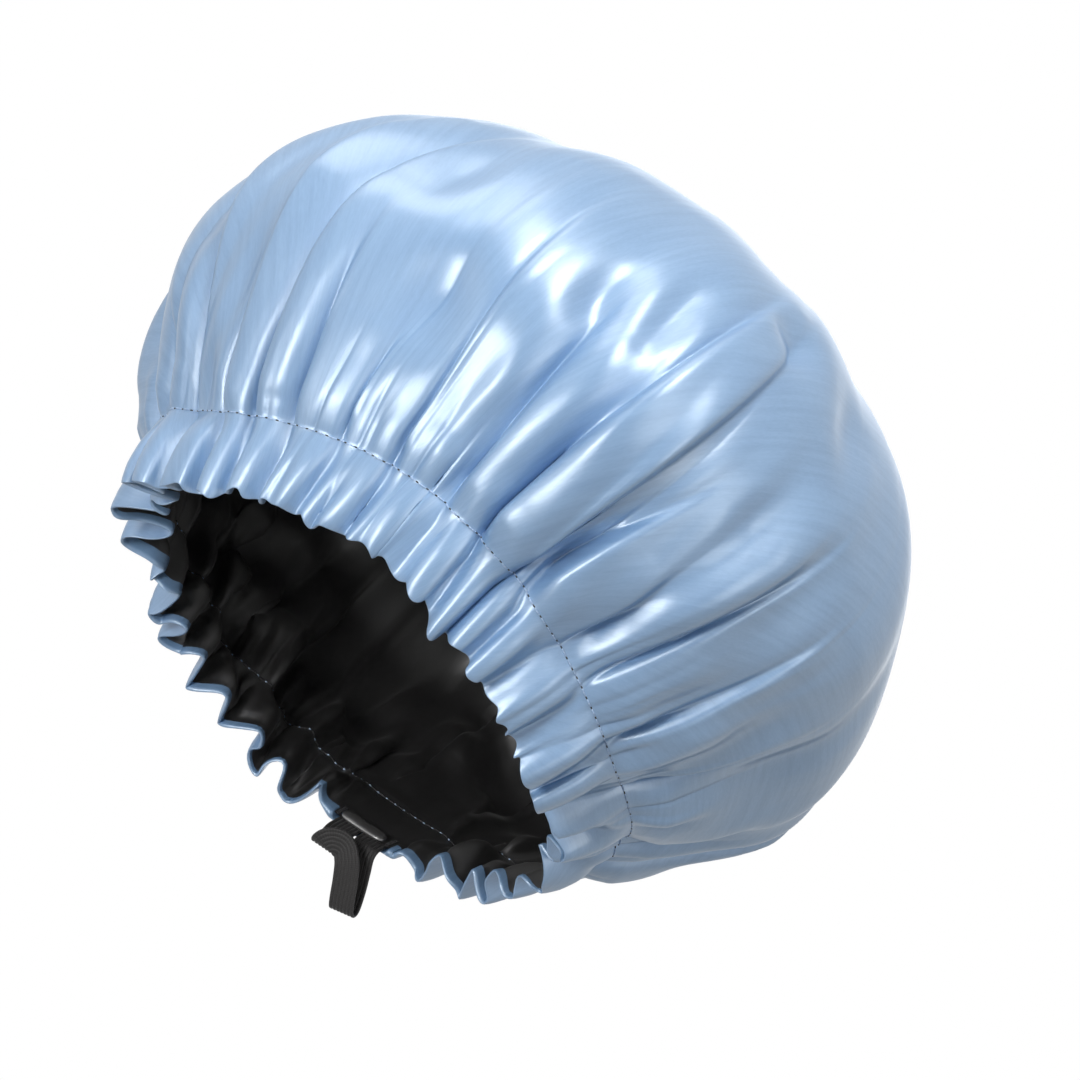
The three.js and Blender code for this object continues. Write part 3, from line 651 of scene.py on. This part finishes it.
def between(values, at, axis, ring=False):
    """Values at broken indices along an axis."""
    low = np.floor(at).astype(int)
    if not ring:
        low = np.minimum(low, values.shape[axis] - 2)
    part = np.expand_dims(at - low, [k for k in range(values.ndim) if k != axis])
    first = np.take(values, low % values.shape[axis], axis)
    return first + (np.take(values, (low + 1) % values.shape[axis], axis) - first) * part


def settled(grid):
    rows = np.unique(np.concatenate([np.arange(0, len(rises), SIM_STEP), [STITCH_ROW, len(rises) - 1]]))
    start = grid[rows][:, ::SIM_STEP]
    row_rises, column_azimuths = rises[rows][:, None], azimuths[None, ::SIM_STEP]
    spare = smooth(1 - np.abs(row_rises - SPARE_RISE) / SPARE_REACH) + 0 * column_azimuths
    piece = settling_cloth(start, held_share(column_azimuths, row_rises), spare)
    for frame_number in range(1, SETTLE_FRAMES + 1):
        bpy.context.scene.frame_set(frame_number)
    result = piece.evaluated_get(bpy.context.evaluated_depsgraph_get()).data
    points = np.zeros(len(result.vertices) * 3, np.float32)
    result.vertices.foreach_get("co", points)
    moved = points.reshape(start.shape) / MM - start
    bpy.context.scene.frame_set(1)
    bpy.data.objects.remove(piece)
    for _ in range(BROAD_PASSES):
        moved = (np.roll(moved, 1, 1) + 2 * moved + np.roll(moved, -1, 1)) / 4
        above, below = np.vstack([moved[1:], moved[-1:]]), np.vstack([moved[:1], moved[:-1]])
        moved = (above + 2 * moved + below) / 4
    moved *= (1 - slit_share(column_azimuths) * (row_rises <= 0))[..., None]
    far = np.linalg.norm(moved, axis=2)
    moved *= np.minimum(1, SETTLE_MOST / np.maximum(far, 1e-9))[..., None]
    print("settling moved the cloth by mm: mean", far.mean().round(2), "most", far.max().round(2))
    wide = between(moved, np.arange(COLUMNS) / SIM_STEP, 1, ring=True)
    return grid + between(wide, np.interp(np.arange(len(rises)), rows, np.arange(len(rows))), 0)


middle_cloth = settled(middle_cloth)

# %% Ease the hem
EASING_PASSES = 5
EASED_BELOW, EASED_FULLY_BELOW = 4, -4
hem_rows = smooth((EASED_BELOW - rises) / (EASED_BELOW - EASED_FULLY_BELOW))[:, None, None]
for _ in range(EASING_PASSES):
    beside = (np.roll(middle_cloth, 1, 1) + np.roll(middle_cloth, -1, 1)) / 2
    middle_cloth = middle_cloth + hem_rows * (beside - middle_cloth) / 2
edge_length = path_length(np.vstack([middle_cloth[0], middle_cloth[0, :1]]))[-1]
print("length of the gathered edge in mm:", edge_length.round(1))

# %% [markdown]
# ## Places on the settled cloth
# Everything sewn to the cap follows the cloth as it now lies. So one helper gives the point at an azimuth, a
# rise and a height out of the middle between the layers, and another how far the layers stand apart: they
# lie close on the crown, and part round the elastic and at the slit.

# %% Find points on the cloth
LAYER_HALF = 0.3
SLIT_LIP = 1.6


def puff(azimuth, rise):
    """Half the distance between the two layers, in mm."""
    down = np.clip(-rise / CHANNEL_LENGTH, 0, 1)
    ridge = np.sin(math.pi * lobe_place(azimuth)[1])
    free = (0.4 + 0.6 * ridge) * np.sin(math.pi * down) ** 0.6
    slit = slit_share(azimuth) * (SLIT_LIP - LAYER_HALF) * smooth((down - 0.5) / 0.35)
    return LAYER_HALF + np.maximum(free, slit)


def cloth_normals(grid):
    round_cap = np.roll(grid, -1, 1) - np.roll(grid, 1, 1)
    return unit(np.cross(np.gradient(grid, axis=0), round_cap))


normals = cloth_normals(middle_cloth)


def on_cloth(azimuth, rise, height):
    """Points in mm, and the directions out of the cloth there. Below the edge the cloth's line goes on."""
    azimuth, rise, height = np.broadcast_arrays(azimuth, rise, height)
    row = np.interp(rise, rises, np.arange(len(rises)))
    column = np.mod(azimuth, 2 * math.pi) / (2 * math.pi) * COLUMNS
    r = np.minimum(np.floor(row).astype(int), len(rises) - 2)
    c = np.floor(column).astype(int)
    up, on = (row - r)[..., None], (column - c)[..., None]

    def look(grid):
        left = grid[r, c % COLUMNS] * (1 - up) + grid[r + 1, c % COLUMNS] * up
        right = grid[r, (c + 1) % COLUMNS] * (1 - up) + grid[r + 1, (c + 1) % COLUMNS] * up
        return left * (1 - on) + right * on

    out = unit(look(normals))
    below = np.minimum(rise - rises[0], 0)[..., None]
    upward = unit(middle_cloth[1, c % COLUMNS] - middle_cloth[0, c % COLUMNS])
    return look(middle_cloth) + upward * below + out * height[..., None], out


print("layers apart at the forehead in mm:", (2 * puff(np.full(3, math.pi), np.array([-20, -13, 10]))).round(2))

# %% [markdown]
# ## The two satin layers
# The layers are cut alike and sewn face to face, then turned. So the blue satin rolls round the edge and
# lies on the black one for a few millimetres, which shows as the blue border inside the far rim. At the
# nape the seam is left open, and there each layer is turned back on itself. The outer satin stands full,
# while the lining hangs slack inside it, in folds, in swags and, at the nape, in small gathers of its own.

# %% Faces of the outer satin and the lining
SWAG_PITCH, SWAG_HEIGHT = 6.5, 2.4
half = puff(azimuths[None, :], rises[:, None])[..., None]
outer_face = middle_cloth + normals * half
slack = fold_heights(LINING_FOLDS, azimuths[None, :], rises[:, None],
                     np.interp(rises, MERIDIAN_RISE, MERIDIAN_LINE[:, 0])[:, None])
swag_turn = rises[:, None] / SWAG_PITCH + 2.5 * np.sin(4 * azimuths + 1) + 1.5 * np.sin(9 * azimuths)
swag_place = smooth((rises - 8) / 30) * (1 - smooth((rises - 140) / 60))
slack += swag_place[:, None] * SWAG_HEIGHT * (1 + np.sin(swag_turn)) * (0.6 + 0.4 * np.sin(7 * azimuths + 2))
lining_face = middle_cloth - normals * (half + slack[..., None])
print("lining's slack in mm: mean", slack.mean().round(2), "most", slack.max().round(2))

# %% Edge of the outer satin
ROLL_STEPS = 5
SLIT_ROLL = 0.35
BORDER_WIDTH, BORDER_ROWS, BORDER_LIFT = 3.2, 4, 0.3
TURNED_BACK = 3.0
is_open = smooth((SLIT_END + 0.7 - from_nape(azimuths)) / 1.4)
edge_half = half[0, :, 0]
roll_radius = edge_half * (1 - is_open) + SLIT_ROLL * is_open
roll_height = (edge_half - SLIT_ROLL) * is_open
roll_angle = np.linspace(0, math.pi, ROLL_STEPS + 2)[1:-1][:, None]
roll, _ = on_cloth(azimuths, -CHANNEL_LENGTH - roll_radius * np.sin(roll_angle),
                   roll_height + roll_radius * np.cos(roll_angle))
border = BORDER_WIDTH + 1.2 * np.sin(4 * azimuths + 0.7) + 0.8 * np.sin(9 * azimuths + 2)
border = border * (1 - is_open) + TURNED_BACK * is_open
border_rises = -CHANNEL_LENGTH + border * np.linspace(0, 1, BORDER_ROWS)[:, None]
inner_half = puff(azimuths + 0 * border_rises, border_rises)
border_heights = -(inner_half + BORDER_LIFT) * (1 - is_open) + (inner_half - 2 * SLIT_ROLL) * is_open
turned_in, _ = on_cloth(azimuths, border_rises, border_heights)
outer_rows = np.concatenate([turned_in[::-1], roll[::-1], outer_face])
print("blue border in mm:", border.min().round(1), "to", border.max().round(1))

# %% Meshes of the two satins
pole = np.array([0, 0, CAP_HEIGHT])
wide_uv = np.linspace(0, 2 * math.pi * CROWN_RADIUS * MM, COLUMNS + 1)
lower_uv = np.linspace(-CHANNEL_LENGTH - 6, -CHANNEL_LENGTH - 0.4, len(turned_in) + ROLL_STEPS)
outer_satin = grid_mesh("outer_satin_cloth", outer_rows * MM, wide_uv, np.concatenate([lower_uv, rises]) * MM,
                        tip=(pole + [0, 0, LAYER_HALF]) * MM)
lining_satin = grid_mesh("lining_satin_cloth", lining_face[:, ::-1] * MM, wide_uv, rises * MM,
                         tip=(pole - [0, 0, LAYER_HALF]) * MM)


def lay_weave_flat(piece):
    """Sets the weave's UVs as on the flat round cut: the way from the pole and the azimuth become a plane."""
    strip = np.zeros(len(piece.data.loops) * 2, np.float32)
    piece.data.uv_layers["gathers"].data.foreach_get("uv", strip)
    turn, out = strip[::2] / (CROWN_RADIUS * MM), POLE_RISE * MM - strip[1::2]
    flat = np.stack([out * np.sin(turn), out * np.cos(turn)], -1)
    piece.data.uv_layers["weave"].data.foreach_set("uv", flat.astype(np.float32).ravel())


for piece, node, slot in ((outer_satin, "outer_satin", "blue_satin"),
                          (lining_satin, "lining_satin", "black_satin")):
    lay_weave_flat(piece)
    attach(piece, "cap")
    stands_for(piece, slot, node)
print("outer satin faces:", len(outer_satin.data.polygons), "lining faces:", len(lining_satin.data.polygons))

# %% [markdown]
# ## Elastic in the channel
# The same ribbed elastic runs round inside the hem, between the edge and the stitch line. It can't be seen
# in a finished cap, but a cap without it would be only cloth. It follows the cloth at the middle of the
# channel, so it weaves in and out with the gathers, though in places it still cuts into the outer satin.
# Its ends overlap at the forehead and are joined by a zigzag.

# %% Channel elastic
ELASTIC_RISE = -13.65
BAND_FROM = 7
band_azimuths = azimuths[from_nape(azimuths) > BAND_FROM]
band_section = ribbed_section(2)
band_rows, _ = on_cloth(band_azimuths[:, None], ELASTIC_RISE + band_section[:, 0], band_section[:, 1])
band = elastic_strip("channel_elastic", band_rows, path_length(band_rows[:, 0]))
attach(band, "cap")
stands_for(band, "black_elastic", "elastic_band")
print("channel elastic in mm:", path_length(band_rows.mean(1))[-1].round(1), "faces:", len(band.data.polygons))

# %% [markdown]
# ## Stitches
# A lockstitch seam has two threads. The blue needle thread lies on the blue side as dashes and shows on the
# black side as a dot at each hole, and the black bobbin thread does the opposite. A single tube round the
# cap would hide that, so every stitch is its own short tube that dips into the cloth at both ends.

# %% Thread helper
THREAD_SIDES = 6


def thread_piece(name, lines, outs, radius, slot, node):
    """Round threads along lines of points in mm, as one mesh. outs are the directions out of the cloth."""
    count, steps = lines.shape[:2]
    along = unit(np.gradient(lines, axis=1))
    out = unit(outs - (outs * along).sum(-1, keepdims=True) * along)
    angle = np.linspace(0, 2 * math.pi, THREAD_SIDES, endpoint=False)[:, None]
    ring = np.cos(angle) * out[:, :, None] + np.sin(angle) * np.cross(along, out)[:, :, None]
    points = (lines[:, :, None] + radius * ring).reshape(-1, 3) * MM
    number, step, side = np.ogrid[:count, :steps - 1, :THREAD_SIDES]
    first = (number * steps + step) * THREAD_SIDES
    corners = [(first + (side + turn) % THREAD_SIDES + up * THREAD_SIDES, side + turn, up)
               for turn, up in ((0, 0), (1, 0), (1, 1), (0, 1))]
    faces = np.stack([corner for corner, _, _ in corners], -1).reshape(-1, 4).tolist()
    long = np.array([path_length(line) for line in lines]) * MM
    u = [np.broadcast_to(turn, first.shape[:2] + (THREAD_SIDES,)) * radius * MM for _, turn, _ in corners]
    v = [np.broadcast_to(long[:, up:steps - 1 + up, None], u[0].shape) for _, _, up in corners]
    uvs = np.stack([np.stack(u, -1), np.stack(v, -1)], -1).reshape(-1, 2)
    starts = np.arange(count) * steps * THREAD_SIDES
    ends = [[int(s) + k for k in order] for s in starts
            for order in (range(THREAD_SIDES)[::-1], range((steps - 1) * THREAD_SIDES, steps * THREAD_SIDES))]
    uvs = np.vstack([uvs, np.zeros((len(ends) * THREAD_SIDES, 2))])
    piece = add_mesh(name, points, faces + ends, uvs)
    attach(piece, "cap")
    stands_for(piece, slot, node)
    return piece


# %% Channel stitches
STITCH_PITCH = 4.0
STITCH_LENGTH = 3.1
STITCH_RADIUS = 0.26
DASH = np.array([(0.0, -0.2), (0.2, 0.2), (0.5, 0.28), (0.8, 0.2), (1.0, -0.2)])
DOT = np.array([(-0.45, -0.15), (0.0, 0.18), (0.45, -0.15)])


def stitch_azimuths(along):
    """Azimuths at lengths in mm along the stitch line of one layer."""
    return np.interp(along, seam_length, np.append(azimuths, 2 * math.pi))


def stitch_row(side):
    """Dashes on one layer and the dots between them, as lines and the directions out of the cloth."""
    starts = np.arange(0.8, seam_length[-1] - STITCH_PITCH, STITCH_PITCH)[:, None]
    rows = []
    for place, height in ((starts + DASH[:, 0] * STITCH_LENGTH, DASH[:, 1]),
                          (starts + (STITCH_LENGTH + STITCH_PITCH) / 2 + DOT[:, 0], DOT[:, 1])):
        points, out = on_cloth(stitch_azimuths(place), 0.0, side * (LAYER_HALF + height))
        rows.append((points, out * side))
    return rows


seam_length = path_length(np.vstack([middle_cloth[STITCH_ROW], middle_cloth[STITCH_ROW, :1]]))
(outer_dashes, outer_dash_out), (outer_dots, outer_dot_out) = stitch_row(1)
(inner_dashes, inner_dash_out), (inner_dots, inner_dot_out) = stitch_row(-1)


def with_dots(dashes, dots):
    """Dots as lines with as many points as the dashes have."""
    steps = np.linspace(0, dots.shape[1] - 1, dashes.shape[1])
    return np.concatenate([dashes, between(dots, steps, 1)])


needle = thread_piece("channel_needle_stitches", with_dots(outer_dashes, inner_dots),
                      with_dots(outer_dash_out, inner_dot_out), STITCH_RADIUS, "blue_thread", "channel_needle_thread")
bobbin = thread_piece("channel_bobbin_stitches", with_dots(inner_dashes, outer_dots),
                      with_dots(inner_dash_out, outer_dot_out), STITCH_RADIUS, "black_thread", "channel_bobbin_thread")
print("stitches round the channel:", len(outer_dashes), "on a seam of mm:", seam_length[-1].round(1))

# %% [markdown]
# ## Hidden seams
# Two more seams hold the cap together and stay out of sight: the edge seam, which was sewn before the cap was
# turned and lies between the layers just inside the edge, and the zigzag that joins the elastic's ends.
# Both are modelled as threads in their places, because someone may open the model up.

# %% Edge seam and splice
EDGE_SEAM_RISE = -CHANNEL_LENGTH + 1.1
EDGE_STEPS = 800
HIDDEN_RADIUS, SPLICE_RADIUS = 0.2, 0.16
edge_azimuths = np.radians(np.linspace(9, 351, EDGE_STEPS))
edge_wave = 0.1 * np.sin(np.arange(EDGE_STEPS) * 1.7)
edge_line, edge_out = on_cloth(edge_azimuths[None], EDGE_SEAM_RISE, edge_wave)
edge_seam = thread_piece("edge_seam_stitches", edge_line, edge_out, HIDDEN_RADIUS, "black_thread", "edge_seam_thread")

SPLICE_AZIMUTH = math.radians(178.5)
SPLICE_LENGTH, SPLICE_WIDTH, SPLICE_LEGS = 10, 7, 6
leg = np.linspace(0, SPLICE_LEGS, SPLICE_LEGS * 5 + 1)
zigzag = np.abs(np.mod(leg, 2) - 1) * 2 - 1
splice_azimuths = SPLICE_AZIMUTH + (leg / SPLICE_LEGS - 0.5) * SPLICE_LENGTH / (HEM_RADIUS + 6)
splice_line, splice_out = on_cloth(splice_azimuths[None], ELASTIC_RISE + zigzag * SPLICE_WIDTH / 2,
                                   ELASTIC_THICKNESS / 2)
splice = thread_piece("elastic_splice_zigzag", splice_line, splice_out, SPLICE_RADIUS, "black_thread",
                      "elastic_splice_thread")
print("edge seam in mm:", path_length(edge_line[0])[-1].round(1), "splice points:", len(leg))

# %% [markdown]
# ## Slit at the nape
# The elastic leaves the hem through a slit. A rolled welt of the black satin strengthens its lip, and a bar
# tack, a dense little zigzag, closes the hem at each end of it. The welt is a rounded roll with soft
# wrinkles across it, and each tack is one thread that goes to and fro.

# %% Welt
WELT_HALF_ANGLE = 6.26
WELT_RISE, WELT_HALF_WIDTH = -CHANNEL_LENGTH + 1.15, 2.75
WELT_HEIGHT, WELT_HALF_THICKNESS = -3.05, 1.35
WELT_STEPS, WELT_SIDES = 60, 32
WELT_WRINKLE = 0.06
WELT_MEAN_RADIUS = 2.1
welt_place = np.linspace(-1, 1, WELT_STEPS)[:, None]
welt_turn = np.linspace(0, 2 * math.pi, WELT_SIDES, endpoint=False)
welt_end = (1 - np.abs(welt_place) ** 6 * 0.995) ** 0.5
welt_wrinkle = 1 + WELT_WRINKLE * np.sin(19 * welt_place + 2 * np.sin(welt_turn)) * np.sin(welt_turn - 0.6) ** 2
welt_rows, _ = on_cloth(np.radians(WELT_HALF_ANGLE) * welt_place,
                        WELT_RISE + WELT_HALF_WIDTH * np.cos(welt_turn) * welt_end,
                        WELT_HEIGHT + WELT_HALF_THICKNESS * np.sin(welt_turn) * welt_end * welt_wrinkle)
welt_round = np.linspace(0, 2 * math.pi * WELT_MEAN_RADIUS, WELT_SIDES + 1)
welt = grid_mesh("slit_welt_roll", welt_rows * MM, welt_round * MM, path_length(welt_rows.mean(1)) * MM)
close_ends(welt, WELT_SIDES)
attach(welt, "cap")
stands_for(welt, "black_satin", "slit_welt")
print("welt in mm:", (welt_rows.max((0, 1)) - welt_rows.min((0, 1))).round(1))

# %% Bar tacks
TACK_AZIMUTH = math.radians(7.13)
TACK_PASSES = 18
TACK_HALF_WIDTH = 0.7
TACK_LIFT = 0.22
TACK_FROM, TACK_TO = 0.5, 6.5
leg = np.linspace(0, TACK_PASSES, TACK_PASSES * 4 + 1)
tack_across = (np.abs(np.mod(leg, 2) - 1) * 2 - 1) * TACK_HALF_WIDTH / HEM_RADIUS
tack_rises = -CHANNEL_LENGTH + TACK_FROM + (TACK_TO - TACK_FROM) * leg / TACK_PASSES
tacks = []
for side, name in ((-1, "bar_tack_left"), (1, "bar_tack_right")):
    tack_azimuths = (side * TACK_AZIMUTH + tack_across)[None]
    tack_line, tack_out = on_cloth(tack_azimuths, tack_rises, -puff(tack_azimuths, tack_rises) - TACK_LIFT)
    tacks.append(thread_piece(name + "_stitches", tack_line, tack_out, HIDDEN_RADIUS, "black_thread", name))
print("bar tacks:", len(tacks), "passes each:", TACK_PASSES)

# %% [markdown]
# ## Satin
# Satin is woven so that long floats of fine thread cover its face. They lie side by side like brushed metal,
# so its gloss is stretched across the floats. A Principled shader does this with anisotropy along UVs that
# lie flat as the round cut did, so that the floats run straight across the crown. The colour changes a
# little from yarn to yarn. Three bumps lie on each other: ripples along the gathers near the hem, slubs in
# the yarn, and the grain of the weave. The blue is written deeper than it looks, because the gloss on top
# of it is nearly white.

# %% Node helpers and satin
def node_material(name, roughness):
    material = bpy.data.materials.new(name)
    material.use_nodes = True
    shader = material.node_tree.nodes["Principled BSDF"]
    shader.inputs["Roughness"].default_value = roughness
    return material, shader


def add_node(material, kind, inputs, **links):
    """A node with its inputs' values, linked from other nodes' outputs."""
    node = material.node_tree.nodes.new("ShaderNode" + kind)
    for name, value in inputs.items():
        node.inputs[name].default_value = value
    for name, output in links.items():
        material.node_tree.links.new(output, node.inputs[name])
    return node


def color_between(material, shader, factor, dark, light):
    tint = add_node(material, "Mix", {})
    tint.data_type = "RGBA"
    tint.inputs["A"].default_value = (*dark, 1)
    tint.inputs["B"].default_value = (*light, 1)
    material.node_tree.links.new(factor, tint.inputs["Factor"])
    material.node_tree.links.new(tint.outputs["Result"], shader.inputs["Base Color"])


def bump_from(material, shader, height, strength, distance, under=None):
    """A bump that the shader uses, laid on a bump under it where there is one."""
    below = {"Normal": under.outputs[0]} if under else {}
    bump = add_node(material, "Bump", {"Strength": strength, "Distance": distance}, Height=height, **below)
    material.node_tree.links.new(bump.outputs[0], shader.inputs["Normal"])
    return bump


def satin(name, dark, light, gloss, roughness, ior):
    material, shader = node_material(name, roughness)
    shader.inputs["Specular IOR Level"].default_value = 0.8
    shader.inputs["IOR"].default_value = ior
    shader.inputs["Specular Tint"].default_value = (*gloss, 1)
    shader.inputs["Anisotropic"].default_value = 0.6
    shader.inputs["Sheen Weight"].default_value = 0.05
    shader.inputs["Sheen Roughness"].default_value = 0.4
    tangent = add_node(material, "Tangent", {})
    tangent.direction_type = "UV_MAP"
    tangent.uv_map = "weave"
    material.node_tree.links.new(tangent.outputs[0], shader.inputs["Tangent"])
    weave, gathers = add_node(material, "UVMap", {}), add_node(material, "UVMap", {})
    weave.uv_map, gathers.uv_map = "weave", "gathers"
    floats = add_node(material, "Mapping", {"Scale": (1, 0.25, 1)}, Vector=weave.outputs[0])
    grain = add_node(material, "TexNoise", {"Scale": 1400, "Detail": 3}, Vector=floats.outputs[0])
    slubs = add_node(material, "Mapping", {"Scale": (1, 0.06, 1)}, Vector=weave.outputs[0])
    streak = add_node(material, "TexNoise", {"Scale": 420, "Detail": 2}, Vector=slubs.outputs[0])
    drawn = add_node(material, "Mapping", {"Scale": (1, 0.3, 1)}, Vector=gathers.outputs[0])
    ripple = add_node(material, "TexNoise", {"Scale": 75, "Detail": 2}, Vector=drawn.outputs[0])
    rise = add_node(material, "SeparateXYZ", {}, Vector=gathers.outputs[0])
    near_hem = add_node(material, "MapRange", {"From Min": 0.03, "From Max": 0.19, "To Min": 1.0, "To Max": 0.0},
                        Value=rise.outputs["Y"])
    crinkle = add_node(material, "Math", {})
    crinkle.operation = "MULTIPLY"
    material.node_tree.links.new(ripple.outputs[0], crinkle.inputs[0])
    material.node_tree.links.new(near_hem.outputs[0], crinkle.inputs[1])
    speck = add_node(material, "Math", {1: 0.6})
    speck.operation = "MULTIPLY_ADD"
    material.node_tree.links.new(grain.outputs[0], speck.inputs[0])
    material.node_tree.links.new(streak.outputs[0], speck.inputs[2])
    color_between(material, shader, speck.outputs[0], dark, light)
    waved = bump_from(material, shader, crinkle.outputs[0], 0.5, 0.0016)
    streaked = bump_from(material, shader, streak.outputs[0], 0.2, 0.0003, waved)
    bump_from(material, shader, grain.outputs[0], 0.15, 0.0002, streaked)
    return material


blue_satin = satin("blue_satin", (0.12, 0.24, 0.44), (0.23, 0.39, 0.62), (0.86, 0.94, 1.0), 0.38, 2.0)
black_satin = satin("black_satin", (0.010, 0.009, 0.010), (0.022, 0.021, 0.022), (1, 1, 1), 0.40, 2.2)
outer_satin.data.materials.append(blue_satin)
for piece in (lining_satin, welt):
    piece.data.materials.append(black_satin)
print("satins:", blue_satin.name, black_satin.name)

# %% [markdown]
# ## Elastic and thread
# The elastic is matte knit: rows of tiny loops across its ribs. Thread is two or three yarns twisted
# together, so its light and dark run round it in a slant. Wave textures on the UVs give both, at the
# scale of real loops and twists, as a bump and as painted shade in the colour between loops and yarns.

# %% Elastic and thread materials
def ribbed_knit(name, dark, light):
    material, shader = node_material(name, 0.62)
    shader.inputs["Sheen Weight"].default_value = 0.25
    place = add_node(material, "TexCoord", {})
    loops = add_node(material, "TexWave", {"Scale": 520, "Distortion": 1.0, "Detail": 2, "Detail Scale": 4},
                     Vector=place.outputs["UV"])
    loops.bands_direction = "Y"
    # painted shade: the loop bands darken the colour in the gaps between the rows of loops
    color_between(material, shader, loops.outputs["Fac"], dark, light)
    bump_from(material, shader, loops.outputs["Fac"], 0.25, 0.0001)
    return material


def twisted_thread(name, dark, light):
    material, shader = node_material(name, 0.5)
    shader.inputs["Sheen Weight"].default_value = 0.2
    place = add_node(material, "TexCoord", {})
    twist = add_node(material, "TexWave", {"Scale": 500, "Distortion": 0.4}, Vector=place.outputs["UV"])
    twist.bands_direction = "DIAGONAL"
    # painted shade: the twist bands darken the colour in the grooves between the yarns
    color_between(material, shader, twist.outputs["Fac"], dark, light)
    bump_from(material, shader, twist.outputs["Fac"], 0.4, 0.0001)
    return material


# in each pair below the darker colour is painted shade, for the gaps between loops or between yarns
black_elastic = ribbed_knit("black_elastic", (0.008, 0.007, 0.007), (0.022, 0.020, 0.020))
blue_thread = twisted_thread("blue_thread", (0.38, 0.54, 0.78), (0.56, 0.70, 0.90))
black_thread = twisted_thread("black_thread", (0.008, 0.008, 0.010), (0.02, 0.02, 0.022))
for piece in (drawcord, band):
    piece.data.materials.append(black_elastic)
needle.data.materials.append(blue_thread)
for piece in (bobbin, edge_seam, splice, *tacks):
    piece.data.materials.append(black_thread)
print("materials:", len(bpy.data.materials))

# %% [markdown]
# ## Studio
# The photograph is a cut-out on white, lit by a broad soft light from the upper right. The world and the
# floor are white where the camera or a reflection looks at them, and otherwise the world gives only a low
# even light. The key softbox makes the broad gloss on the crown, with a little help from overhead and from
# the side. One in front opens the shadows, one looks into the opening and puts a sheen on the lining, and
# one behind is for the other views. The floor is far below, because the cap hangs free.

# %% World
world = bpy.data.worlds.new("studio")
bpy.context.scene.world = world
world.use_nodes = True


def level_when_seen(owner, hidden, seen_level):
    """A level for rays of the camera and of reflections, and another for the rays that light the cap."""
    paths = add_node(owner, "LightPath", {})
    seen = paths.outputs["Is Camera Ray"]
    for ray in ("Is Glossy Ray", "Is Transmission Ray"):
        either = add_node(owner, "Math", {})
        either.operation = "MAXIMUM"
        owner.node_tree.links.new(seen, either.inputs[0])
        owner.node_tree.links.new(paths.outputs[ray], either.inputs[1])
        seen = either.outputs[0]
    return add_node(owner, "MapRange", {"To Min": hidden, "To Max": seen_level}, Value=seen).outputs[0]


EVEN_LIGHT, WHITE = 0.07, 1.0
level = level_when_seen(world, EVEN_LIGHT, WHITE)
background = world.node_tree.nodes["Background"]
background.inputs["Color"].default_value = (1, 1, 1, 1)
world.node_tree.links.new(level, background.inputs["Strength"])
print("world nodes:", len(world.node_tree.nodes))

# %% Lamps and floor
FLOOR_LEVEL = -2.4
FLOOR_SIZE = 8
FLOOR_GLOW = 0.65
CAP_MIDDLE = Vector((0, 0, 0.08))


def softbox(name, place, size, power):
    light = bpy.data.lights.new(name, "AREA")
    light.shape = "DISK"
    light.size = size
    light.energy = power
    lamp = bpy.data.objects.new(name, light)
    lamp.location = place
    lamp.rotation_euler = (CAP_MIDDLE - place).to_track_quat("-Z", "Y").to_euler()
    bpy.context.scene.collection.objects.link(lamp)


softbox("key_softbox", aim + view_up * 0.95 + back * 0.6 + view_right * 0.55, 0.5, 9.5)
softbox("overhead_softbox", aim + view_up * 1.05 - back * 0.1 - view_right * 0.1, 0.6, 2.4)
softbox("side_softbox", aim + view_up * 0.5 + back * 0.5 - view_right * 1.0, 0.3, 0.8)
softbox("front_softbox", aim + back * 1.1 + view_right * 1.1 - view_up * 0.3, 0.9, 4)
softbox("opening_softbox", Vector((-0.14, -0.84, -0.52)) * 1.1, 0.4, 6)
softbox("rear_softbox", aim - back * 1.35 + view_right * 0.2 + view_up * 0.1, 1.0, 4)

corners = np.array([(x * FLOOR_SIZE, y * FLOOR_SIZE, FLOOR_LEVEL)
                    for x, y in ((-1, -1), (1, -1), (1, 1), (-1, 1))])
floor = add_mesh("floor", corners, [(0, 1, 2, 3)], corners[:, :2])
pale_floor, floor_shader = node_material("pale_floor", 0.7)
floor_place = add_node(pale_floor, "TexCoord", {})
floor_cloud = add_node(pale_floor, "TexNoise", {"Scale": 3}, Vector=floor_place.outputs["Object"])
color_between(pale_floor, floor_shader, floor_cloud.outputs[0], (0.90, 0.90, 0.90), (0.93, 0.93, 0.93))
floor_shader.inputs["Emission Color"].default_value = (1, 1, 1, 1)
floor_level = level_when_seen(pale_floor, 0.0, FLOOR_GLOW)
pale_floor.node_tree.links.new(floor_level, floor_shader.inputs["Emission Strength"])
floor.data.materials.append(pale_floor)
print("floor level in m:", FLOOR_LEVEL)

# %% [markdown]
# ## Finish
# The colours are shown as they are written, without a film look.

# %% Finish
bpy.context.scene.view_settings.view_transform = "Standard"
bpy.context.view_layer.update()
